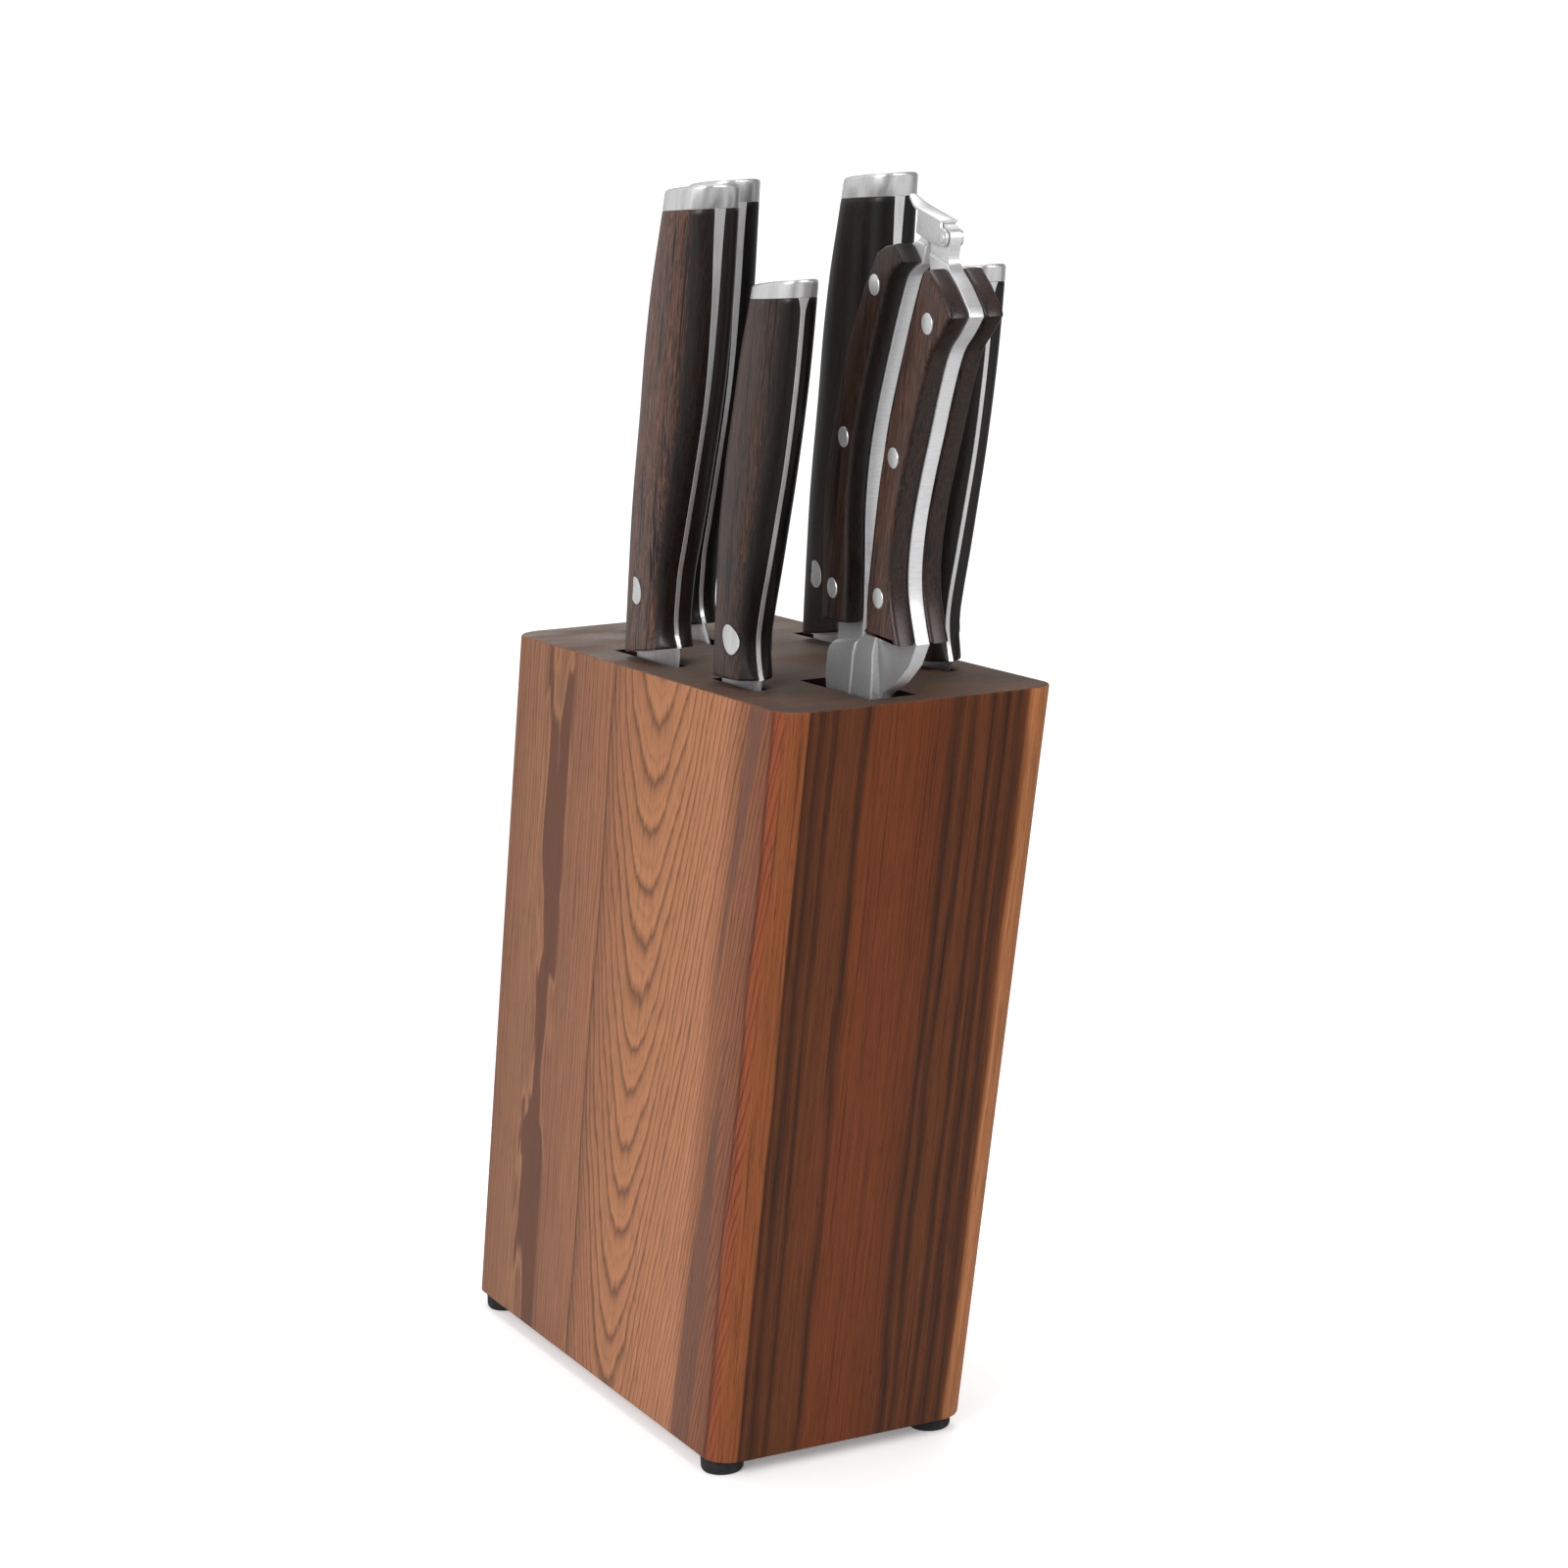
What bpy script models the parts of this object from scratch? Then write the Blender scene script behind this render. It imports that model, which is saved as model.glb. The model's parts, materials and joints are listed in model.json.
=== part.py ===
"""Leaning wooden knife block with five full-tang knives and a pair of poultry shears.

Metres, +Z up. The origin is under the middle of the whole object's bounding box, at the feet's
undersides. +X is the block's width, and the block and everything in it lean towards -Y, its front.
"""

import math

import bmesh
import bpy
from mathutils import Matrix, Vector

# ---- driving dimensions, in millimetres -------------------------------------------------------
MM = 0.001
GAP = 0.3                     # clearance left between pieces that touch

LEAN = math.radians(15.0)     # tilt of the block and of every slot, towards the front
BLOCK_WIDTH = 80.0
BLOCK_DEPTH = 183.0
BLOCK_HEIGHT = 219.5
CORNER_RADIUS = 8.4
BASE_Y = 49.14                # middle of the block's base, which centres the object's box

FOOT_HEIGHT = 5.0
FOOT_RADIUS = 6.9
FOOT_X = 33.0
FOOT_Y = 81.0
SCREW_HEAD_RADIUS = 3.6
SCREW_SHANK_RADIUS = 1.6
SCREW_LENGTH = 16.0
SCREW_HEAD_THICKNESS = 0.8    # straight rim of the head, above its driver slot
SCREW_CONE_END = 2.8          # where the countersunk cone has run down to the shank
SCREW_TIP_LENGTH = 2.5
SCREW_TIP_RADIUS = 0.4
SCREW_RECESS = 1.2            # how far the head sits up inside the foot
DRIVER_SLOT = (9.0, 1.0, 2.0)
FOOT_PROFILE_SEGMENTS = 24
FOOT_CHAMFER = 0.9
COUNTERBORE_DEPTH = 2.2
COUNTERBORE_CLEARANCE = 0.6
COUNTERSINK_FLARE = 1.9
COUNTERSINK_HEIGHTS = (3.4, 4.6)

SLOT_WIDTH = 3.4              # knife slots, across the block
SLOT_X = 28.2                 # middle of the two outer slot layers
CORE_EDGE = 12.0              # where the core boards end and the middle slot layer starts
SHEARS_SLOT_RIGHT = 1.5
CHEF_SLOT_LEFT = -3.2

# Slots as (front end, back end) along the depth, measured on the top face from its middle.
LEFT_SLOTS = ((-53.0, -26.0), (-2.0, 39.0))
RIGHT_SLOTS = ((-53.5, -28.0), (-2.0, 38.5))
SHEARS_SLOT = (-83.0, -43.0)
CHEF_SLOT = (30.0, 79.0)

BLADE_THICKNESS = 2.2
EDGE_THICKNESS = 0.4
GRIND_HEIGHT = 0.6            # share of the blade's width that its bevels take up
BLADE_BELLY_POWER = 2.6
BLADE_SPINE_POWER = 3.2
BLADE_TIP_HALF = 0.4          # half width of the blade at its tip
HEEL_LIFT = 3.0               # how far the blade's heel sits below the handle's slanted start
CHOIL_LIFT = 2.0
TANG_THIN = 1.8               # tang thickness along most of the handle
TANG_THICK = 3.2              # and where it runs into the end cap
RIVET_RADIUS = 4.1
PROUD = 0.1                   # how far rivet ends stand proud of the scales
RING_POINTS = 18
SECTION_POWER = 2.25          # handle section: 2 is an ellipse, higher is squarer
CAP_RIM = 0.88                # where the end cap starts to round over, as a share of its length
CAP_SHRINK = 0.86             # how much smaller its flat top is
TANG_SWELL_START = 0.45       # share of the handle where the tang starts to thicken

# A handle: outline of belly and spine as (height above the block's top, distance from the slot's
# middle towards the spine), half thickness by height, and its slanted ends as (height, slope).
LONG_HANDLE = {
    "belly": ((7, -17.0), (10, -15.6), (14, -13.2), (20, -11.9), (27, -11.9), (40, -13.8), (60, -17.1),
              (80, -19.8), (95, -20.5), (110, -20.2), (125, -19.2), (144, -18.6)),
    "spine": ((-5, 10.0), (20, 10.7), (45, 11.1), (70, 10.5), (90, 9.8), (105, 8.4), (120, 6.0), (144, 3.0)),
    "half": ((-5, 7.3), (25, 7.5), (45, 8.2), (70, 8.8), (95, 9.2), (115, 9.1), (144, 8.2)),
    "start": (3.0, 0.42),
    "cap": (128.4, 0.30),
    "end": (134.2, 0.34),
    "rivet": (21.0, 1.0),
}
SHORT_HANDLE = {
    "belly": ((3, -15.4), (6, -14.2), (9, -12.6), (13, -10.8), (18, -9.9), (25, -10.5), (36, -12.2),
              (50, -14.3), (65, -16.4), (80, -17.6), (95, -18.1), (119, -17.8)),
    "spine": ((-3, 7.9), (20, 8.7), (40, 10.8), (55, 10.9), (75, 9.0), (90, 7.2), (100, 5.4), (119, 1.6)),
    "half": ((-3, 5.8), (20, 6.3), (60, 7.0), (90, 7.0), (119, 6.4)),
    "start": (2.2, 0.30),
    "cap": (106.0, 0.30),
    "end": (109.8, 0.36),
    "rivet": (14.8, -4.4),
}

# A knife: handle, slot middle (x, depth), how far the butt is swung back, and its blade.
KNIVES = {
    "chef_knife": {"handle": LONG_HANDLE, "x": -1.7, "y": 56.0, "sweep": 2.0, "blade": 200.0,
                   "heel": -24.0, "deepest": -24.0, "tip": 4.0, "heel_drop": 6.5},
    "carving_knife": {"handle": LONG_HANDLE, "x": -28.0, "y": 16.0, "sweep": 0.0, "blade": 200.0,
                      "heel": -16.2, "deepest": -15.0, "tip": 2.0, "heel_drop": 0.0},
    "bread_knife": {"handle": LONG_HANDLE, "x": 27.7, "y": 16.0, "sweep": 5.2, "blade": 200.0,
                    "heel": -15.6, "deepest": -15.4, "tip": -2.0, "heel_drop": 0.0},
    "utility_knife": {"handle": SHORT_HANDLE, "x": -27.9, "y": -37.6, "sweep": 0.0, "blade": 130.0,
                      "heel": -14.2, "deepest": -12.8, "tip": 1.0, "heel_drop": 0.0},
    "paring_knife": {"handle": SHORT_HANDLE, "x": 28.5, "y": -38.5, "sweep": 5.0, "blade": 90.0,
                     "heel": -13.2, "deepest": -11.8, "tip": 1.0, "heel_drop": 0.0},
}

# ---- shears, in their own plane: (across, along), across towards the back of the block ---------
SHEARS_X = -5.2
SHEARS_Y = -62.5
SHEARS_TANG = 4.0
SHEARS_SCALE = 5.6
SHEARS_SCALE_BEVEL = 0.8
SHEARS_BLADE = 3.0
PIVOT = (-4.0, -24.0)
PIVOT_RADIUS = 3.2
SHEARS_RIVET_RADIUS = 2.7
LATCH_PIN = (-23.8, 127.9)
LATCH_PIN_RADIUS = 1.3
LATCH_PIN_REACH = 2.7         # half lengths of the pin and of the pivot screw
PIVOT_REACH = 4.4
LATCH_SHEET = 0.7
LATCH_INNER = 3.6             # inside width of the folded latch
LATCH_NECK = 3.0              # thickness of both halves where the latch holds them
LATCH_NECK_STARTS = (123.3, 121.9)
SPRING_WIRE_RADIUS = 0.7
SPRING_MIDDLE = (-8.4, 30.5)
SPRING_BOW = (4.2, 9.0)       # half width and height of the bow
SPRING_STEPS = 14

BACK_FRONT_EDGE = ((-4.3, 17.0), (-2.9, 28), (-1.2, 38), (0.9, 50), (1.4, 63), (0.2, 75), (-2.3, 88),
                   (-5.4, 102), (-8.4, 113))
BACK_BACK_EDGE = ((9.0, 17.0), (10.4, 26), (12.3, 37), (14.3, 50), (14.0, 60), (12.6, 72), (11.4, 80),
                  (9.8, 89), (7.3, 98), (3.9, 108))
FRONT_BACK_EDGE = ((-15.2, 22.5), (-13.8, 32), (-13.7, 45), (-14.0, 62), (-15.3, 75), (-17.3, 87),
                   (-19.6, 100), (-21.6, 107))
FRONT_FRONT_EDGE = ((-32.2, 24.8), (-29.4, 29), (-25.8, 36), (-24.1, 44), (-24.1, 55), (-25.7, 67),
                    (-28.0, 79), (-30.2, 91), (-33.0, 101.5), (-37.2, 107.6), (-40.6, 113.0))
BACK_RIVETS = ((-2.0, 110.0), (6.2, 67.5), (4.2, 27.0))
FRONT_RIVETS = ((-30.4, 108.6), (-20.6, 71.0), (-20.4, 33.5))


# ---- small helpers --------------------------------------------------------------------------------
def clear_scene():
    for obj in list(bpy.data.objects):
        bpy.data.objects.remove(obj, do_unlink=True)


def new_collection(name):
    collection = bpy.data.collections.new(name)
    bpy.context.scene.collection.children.link(collection)
    return collection


def new_material(name, colour, roughness, metallic=0.0):
    material = bpy.data.materials.new(name)
    material.use_nodes = True
    shader = material.node_tree.nodes["Principled BSDF"]
    shader.inputs["Base Color"].default_value = (*colour, 1.0)
    shader.inputs["Roughness"].default_value = roughness
    shader.inputs["Metallic"].default_value = metallic
    return material


def new_object(name, bm, material, parent, smooth_angle=None):
    mesh = bpy.data.meshes.new(name)
    bmesh.ops.recalc_face_normals(bm, faces=bm.faces)
    bm.to_mesh(mesh)
    bm.free()
    if smooth_angle is not None:
        mesh.shade_smooth()
        mesh.set_sharp_from_angle(angle=math.radians(smooth_angle))
    obj = bpy.data.objects.new(name, mesh)
    obj.parent = parent
    mesh.materials.append(material)
    PARTS.objects.link(obj)
    return obj


def new_empty(name, location, tilt=0.0, parent=None):
    empty = bpy.data.objects.new(name, None)
    empty.empty_display_size = 0.02
    empty.location = [value * MM for value in location]
    empty.rotation_euler = (tilt, 0.0, 0.0)
    empty.parent = parent
    PARTS.objects.link(empty)
    return empty


def curve_through(points, where):
    """Smooth value at `where` on a line of (place, value) points: a cubic with limited slopes."""
    places = [p for p, _ in points]
    values = [v for _, v in points]
    slopes = [(values[i + 1] - values[i]) / (places[i + 1] - places[i]) for i in range(len(points) - 1)]
    inner = [(a + b) / 2 if a * b > 0 else 0.0 for a, b in zip(slopes, slopes[1:])]
    tangents = [slopes[0]] + inner + [slopes[-1]]
    where = min(max(where, places[0]), places[-1])
    i = max(k for k in range(len(points) - 1) if places[k] <= where)
    span = places[i + 1] - places[i]
    t = (where - places[i]) / span
    rise = values[i + 1] - values[i]
    return (values[i] + t * t * (3 - 2 * t) * rise
            + span * t * (1 - t) * ((1 - t) * tangents[i] - t * tangents[i + 1]))


def loft(rings):
    """A closed body through rings of equal point counts, capped at both ends."""
    bm = bmesh.new()
    loops = [[bm.verts.new(Vector(point) * MM) for point in ring] for ring in rings]
    for lower, upper in zip(loops, loops[1:]):
        for i in range(len(lower)):
            j = (i + 1) % len(lower)
            bm.faces.new((lower[i], lower[j], upper[j], upper[i]))
    bm.faces.new(list(reversed(loops[0])))
    bm.faces.new(loops[-1])
    return bm


def cylinder(radius, x_from, x_to, across, along, segments=24):
    """A cylinder along X through (across, along) of the parent's plane."""
    bm = bmesh.new()
    middle = Vector(((x_from + x_to) / 2, across, along)) * MM
    turn = Matrix.Translation(middle) @ Matrix.Rotation(math.pi / 2, 4, "Y")
    bmesh.ops.create_cone(bm, cap_ends=True, segments=segments, radius1=radius * MM, radius2=radius * MM,
                          depth=(x_to - x_from) * MM, matrix=turn)
    return bm


def new_cutter(name, bm, parent):
    mesh = bpy.data.meshes.new(name)
    bmesh.ops.recalc_face_normals(bm, faces=bm.faces)
    bm.to_mesh(mesh)
    bm.free()
    cutter = bpy.data.objects.new(name, mesh)
    cutter.parent = parent
    cutter.hide_render = True
    cutter.display_type = "WIRE"
    CUTTERS.objects.link(cutter)
    return cutter


def cut(obj, cutter, operation="DIFFERENCE"):
    boolean = obj.modifiers.new(cutter.name, "BOOLEAN")
    boolean.operation = operation
    boolean.solver = "EXACT"
    boolean.object = cutter


# ---- block ------------------------------------------------------------------------------------------
def lean_matrix():
    return Matrix.Shear("XY", 4, (0.0, -math.tan(LEAN)))


def board(name, x_from, x_to, y_from, y_to, material, rounded_side=0):
    """A leaning board of the full height. rounded_side rounds its two vertical edges on that X side."""
    bm = bmesh.new()
    bmesh.ops.create_cube(bm, size=1.0)
    size = Vector((x_to - x_from, y_to - y_from, BLOCK_HEIGHT))
    bmesh.ops.scale(bm, verts=bm.verts, vec=size * MM)
    centre = Vector(((x_from + x_to) / 2, (y_from + y_to) / 2, BLOCK_HEIGHT / 2))
    if rounded_side:
        outer = [edge for edge in bm.edges
                 if all(vert.co.x * rounded_side > 0 for vert in edge.verts)
                 and abs(edge.verts[0].co.z - edge.verts[1].co.z) > size.z * MM / 2]
        bmesh.ops.bevel(bm, geom=outer, offset=CORNER_RADIUS * MM, segments=8, affect="EDGES", profile=0.5)
    bmesh.ops.translate(bm, verts=bm.verts, vec=centre * MM)
    bmesh.ops.transform(bm, matrix=lean_matrix(), verts=bm.verts)
    return new_object(name, bm, material, BLOCK, smooth_angle=30 if rounded_side else None)


def slot_layer(side, x_middle, slots, material):
    """Strips that stand between the slots of one outer layer."""
    half = SLOT_WIDTH / 2
    ends = [-BLOCK_DEPTH / 2] + [end for slot in slots for end in slot] + [BLOCK_DEPTH / 2]
    names = ("front", "middle", "back")
    for name, start, stop in zip(names, ends[0::2], ends[1::2]):
        board(f"{side}_spacer_{name}", x_middle - half, x_middle + half, start, stop, material)


def make_block(wood):
    cheek = SLOT_X + SLOT_WIDTH / 2 + GAP
    core = SLOT_X - SLOT_WIDTH / 2 - GAP
    half_width, half_depth = BLOCK_WIDTH / 2, BLOCK_DEPTH / 2
    cheeks = [board("left_cheek", -half_width, -cheek, -half_depth, half_depth, wood, rounded_side=-1),
              board("right_cheek", cheek, half_width, -half_depth, half_depth, wood, rounded_side=1)]
    slot_layer("left", -SLOT_X, LEFT_SLOTS, wood)
    slot_layer("right", SLOT_X, RIGHT_SLOTS, wood)
    board("left_core", -core, -CORE_EDGE - GAP, -half_depth, half_depth, wood)
    board("right_core", SHEARS_SLOT_RIGHT + GAP, core, -half_depth, half_depth, wood)
    board("middle_spacer_front", -CORE_EDGE, SHEARS_SLOT_RIGHT, -half_depth, SHEARS_SLOT[0], wood)
    board("middle_spacer_centre", -CORE_EDGE, SHEARS_SLOT_RIGHT, SHEARS_SLOT[1], CHEF_SLOT[0], wood)
    board("middle_spacer_back", -CORE_EDGE, SHEARS_SLOT_RIGHT, CHEF_SLOT[1], half_depth, wood)
    board("chef_slot_filler", -CORE_EDGE, CHEF_SLOT_LEFT, CHEF_SLOT[0] + GAP, CHEF_SLOT[1] - GAP, wood)
    return cheeks


def turned(name, profile, material, location, segments):
    """A body turned about Z from a closed outline of (radius, height) points, wound down its outer side."""
    mesh = bpy.data.meshes.new(name)
    count = len(profile)
    edges = [(i, (i + 1) % count) for i in range(count)]
    mesh.from_pydata([(r * MM, 0.0, z * MM) for r, z in profile], edges, [])
    obj = bpy.data.objects.new(name, mesh)
    obj.location = [value * MM for value in location]
    obj.parent = BLOCK
    mesh.materials.append(material)
    PARTS.objects.link(obj)
    screw = obj.modifiers.new("turn", "SCREW")
    screw.steps = segments
    screw.render_steps = segments
    screw.use_merge_vertices = True
    screw.merge_threshold = 0.00001
    screw.use_smooth_shade = True
    return obj


def screw_body(name, material, location):
    """A countersunk wood screw, head down, with a straight driver slot."""
    bm = bmesh.new()
    head, shank = SCREW_HEAD_RADIUS * MM, SCREW_SHANK_RADIUS * MM
    rings = ((head, 0.0), (head, SCREW_HEAD_THICKNESS), (shank, SCREW_CONE_END),
             (shank, SCREW_LENGTH - SCREW_TIP_LENGTH), (SCREW_TIP_RADIUS * MM, SCREW_LENGTH))
    loops = []
    for radius, height in rings:
        made = bmesh.ops.create_circle(bm, cap_ends=False, segments=16, radius=radius,
                                       matrix=Matrix.Translation((0.0, 0.0, height * MM)))
        loops.append(made["verts"])
    for lower, upper in zip(loops, loops[1:]):
        for i in range(16):
            j = (i + 1) % 16
            bm.faces.new((lower[i], lower[j], upper[j], upper[i]))
    bm.faces.new(list(reversed(loops[0])))
    bm.faces.new(loops[-1])
    obj = new_object(name, bm, material, BLOCK, smooth_angle=35)
    obj.location = [value * MM for value in location]
    slot = bmesh.new()
    bmesh.ops.create_cube(slot, size=1.0)
    bmesh.ops.scale(slot, verts=slot.verts, vec=Vector(DRIVER_SLOT) * MM)
    cut(obj, new_cutter(f"{name}_slot", slot, obj))
    return obj


def make_feet(rubber, steel, cheeks):
    bore = SCREW_HEAD_RADIUS + COUNTERBORE_CLEARANCE
    hole_radius = SCREW_SHANK_RADIUS + GAP
    cone_start, cone_end = COUNTERSINK_HEIGHTS
    profile = ((FOOT_RADIUS - FOOT_CHAMFER, -FOOT_HEIGHT), (bore, -FOOT_HEIGHT),
               (bore, COUNTERBORE_DEPTH - FOOT_HEIGHT),
               (SCREW_SHANK_RADIUS + COUNTERSINK_FLARE, cone_start - FOOT_HEIGHT),
               (hole_radius, cone_end - FOOT_HEIGHT), (hole_radius, -GAP), (FOOT_RADIUS, -GAP),
               (FOOT_RADIUS, 1.6 - FOOT_HEIGHT), (FOOT_RADIUS - 0.3, 0.6 - FOOT_HEIGHT))
    for x_sign, side in ((-1, "left"), (1, "right")):
        for y_sign, end in ((-1, "front"), (1, "back")):
            spot = (x_sign * FOOT_X, y_sign * FOOT_Y, 0.0)
            turned(f"{end}_{side}_foot", profile, rubber, spot, FOOT_PROFILE_SEGMENTS)
            screw_spot = (spot[0], spot[1], SCREW_RECESS - FOOT_HEIGHT)
            screw_body(f"{end}_{side}_foot_screw", steel, screw_spot)
            hole = bmesh.new()
            bmesh.ops.create_cone(hole, cap_ends=True, segments=12, depth=2 * SCREW_LENGTH * MM,
                                  radius1=hole_radius * MM, radius2=hole_radius * MM)
            hole_object = new_cutter(f"{end}_{side}_pilot", hole, BLOCK)
            hole_object.location = (spot[0] * MM, spot[1] * MM, -2.0 * MM)
            cut(cheeks[0] if x_sign < 0 else cheeks[1], hole_object)


# ---- knives -----------------------------------------------------------------------------------------
def on_slant(slant, across):
    """Height of a slanted end at a place across the handle."""
    height, slope = slant
    return height - slope * across


class Handle:
    """Outline and section of a knife handle in the knife's own frame, in millimetres."""

    def __init__(self, shape, sweep):
        self.shape = shape
        self.sweep = sweep
        self.length = shape["cap"][0]

    def shift(self, along):
        return self.sweep * max(along, 0.0) / self.length

    def belly(self, along):
        return curve_through(self.shape["belly"], along) + self.shift(along)

    def spine(self, along):
        return curve_through(self.shape["spine"], along) + self.shift(along)

    def half(self, along):
        return curve_through(self.shape["half"], along)

    def tang_half(self, along):
        """Half thickness of the tang: thin, then swelling into the end cap."""
        start = TANG_SWELL_START * self.length
        t = min(max((along - start) / (self.length - start), 0.0), 1.0)
        return (TANG_THIN + (TANG_THICK - TANG_THIN) * t * t) / 2


def outer_point(belly, spine, half, angle):
    """Point on the rounded section: 0 is the belly, 180 degrees the spine."""
    middle, reach = (belly + spine) / 2, (spine - belly) / 2
    power = 2 / SECTION_POWER
    cosine, sine = math.cos(angle), math.sin(angle)
    return half * sine ** power, middle - reach * math.copysign(abs(cosine) ** power, cosine)


def slanted_ring(handle, low, high, share, section):
    """A ring `share` of the way from the slanted end `low` to the slanted end `high`."""
    def height(across):
        return on_slant(low, across - shift) * (1 - share) + on_slant(high, across - shift) * share
    shift = handle.shift(low[0] * (1 - share) + high[0] * share)
    along = height(shift)
    belly, spine = handle.belly(height(handle.belly(along))), handle.spine(height(handle.spine(along)))
    half = handle.half(along)
    return [(x, across, height(across)) for x, across in section(belly, spine, half, handle.tang_half(along))]


def scale_section(side):
    """Half of the rounded section, outside the tang."""
    def section(belly, spine, half, tang):
        inner = tang + GAP
        start = math.asin(min((inner / half) ** (SECTION_POWER / 2), 1.0))
        steps = RING_POINTS // 2 + 1
        angles = [start + (math.pi - 2 * start) * i / (steps - 1) for i in range(steps)]
        return [(side * x, across) for x, across in (outer_point(belly, spine, half, a) for a in angles)]
    return section


def full_section(belly, spine, half, tang):
    """The whole rounded section, as the end cap has it."""
    points = []
    for i in range(RING_POINTS):
        angle = 2 * math.pi * i / RING_POINTS
        x, across = outer_point(belly, spine, half, angle if angle <= math.pi else 2 * math.pi - angle)
        points.append((x if angle <= math.pi else -x, across))
    return points


def tang_section(belly, spine, half, tang):
    """The flat bar of the tang, its narrow edges rounded with the handle, with as many points as the cap."""
    start = math.asin(min((tang / half) ** (SECTION_POWER / 2), 1.0))
    low = outer_point(belly, spine, half, start)[1]
    high = outer_point(belly, spine, half, math.pi - start)[1]
    steps = RING_POINTS // 2 - 1
    side = [low + (high - low) * i / (steps - 1) for i in range(steps)]
    right = [(tang, across) for across in side]
    return [(0.0, belly)] + right + [(0.0, spine)] + [(-x, across) for x, across in reversed(right)]


def blade_ring(edge, spine, along_edge, along_spine):
    """A wedge-shaped blade section with as many points as the tang."""
    steps = RING_POINTS // 2
    ring = []
    for i in range(steps + 1):
        share = i / steps
        thickness = EDGE_THICKNESS + (BLADE_THICKNESS - EDGE_THICKNESS) * min(share / GRIND_HEIGHT, 1.0)
        x = thickness / 2 if 0 < i < steps else 0.0
        ring.append((x, edge + (spine - edge) * share, along_edge + (along_spine - along_edge) * share))
    return ring + [(-x, across, along) for x, across, along in reversed(ring[1:-1])]


def blade_rings(knife, handle):
    """Rings from the tip up to the heel."""
    spine_top = handle.spine(0.0) - 0.2
    length, tip = knife["blade"], knife["tip"]
    rings = []
    shares = (0.0, 0.04, 0.12, 0.24, 0.4, 0.6, 0.8, 0.94)
    for share in shares:
        along = -length * (1 - share)
        belly_curve = 1 - (1 - share) ** BLADE_BELLY_POWER
        spine_curve = 1 - (1 - share) ** BLADE_SPINE_POWER
        edge = tip - BLADE_TIP_HALF + (knife["deepest"] - tip) * belly_curve
        spine = tip + BLADE_TIP_HALF + (spine_top - tip) * spine_curve
        rings.append(blade_ring(edge, spine, along, along))
    heel = on_slant(handle.shape["start"], handle.belly(8.0)) - knife["heel_drop"]
    choil = on_slant(handle.shape["start"], spine_top) - CHOIL_LIFT
    rings.append(blade_ring(knife["heel"], spine_top, heel - HEEL_LIFT, choil))
    return rings


def make_knife(name, knife, steel, wood):
    handle = Handle(knife["handle"], knife["sweep"])
    shape = knife["handle"]
    frame = new_empty(f"{name}_slide", (knife["x"], knife["y"] - BLOCK_HEIGHT * math.tan(LEAN), BLOCK_HEIGHT),
                      LEAN, BLOCK)
    rivet_at, rivet_across = shape["rivet"]
    rings = blade_rings(knife, handle)
    shares = (0.0, 0.05, 0.1, 0.16, 0.24, 0.34, 0.46, 0.6, 0.74, 0.87, 1.0)
    rings += [slanted_ring(handle, shape["start"], shape["cap"], share, tang_section) for share in shares]
    rings.append(slanted_ring(handle, shape["cap"], shape["end"], 0.0, full_section))
    rings.append(slanted_ring(handle, shape["cap"], shape["end"], CAP_RIM, full_section))
    rings.append(cap_top_ring(handle, CAP_SHRINK))
    metal = new_object(f"{name}_blade", loft(rings), steel, frame, smooth_angle=35)
    drill = cylinder(RIVET_RADIUS + GAP, -15, 15, rivet_across, rivet_at)
    hole = new_cutter(f"{name}_rivet_hole", drill, frame)
    cut(metal, hole)
    start = (shape["start"][0] + GAP, shape["start"][1])
    stop = (shape["cap"][0] - GAP, shape["cap"][1])
    for side, side_name in ((-1, "left"), (1, "right")):
        rings = [slanted_ring(handle, start, stop, share, scale_section(side)) for share in shares]
        grip = new_object(f"{name}_{side_name}_scale", loft(rings), wood, frame, smooth_angle=40)
        cut(grip, hole)
    reach = handle.half(rivet_at) + PROUD
    pin = cylinder(RIVET_RADIUS, -reach, reach, rivet_across, rivet_at)
    new_object(f"{name}_rivet", pin, steel, frame, smooth_angle=40)


def cap_top_ring(handle, shrink):
    """The end cap's top face, drawn in by its rounded rim."""
    ring = slanted_ring(handle, handle.shape["cap"], handle.shape["end"], 1.0, full_section)
    middle = sum((Vector(point) for point in ring), Vector()) / len(ring)
    return [middle + (Vector(point) - middle) * shrink for point in ring]


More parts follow.
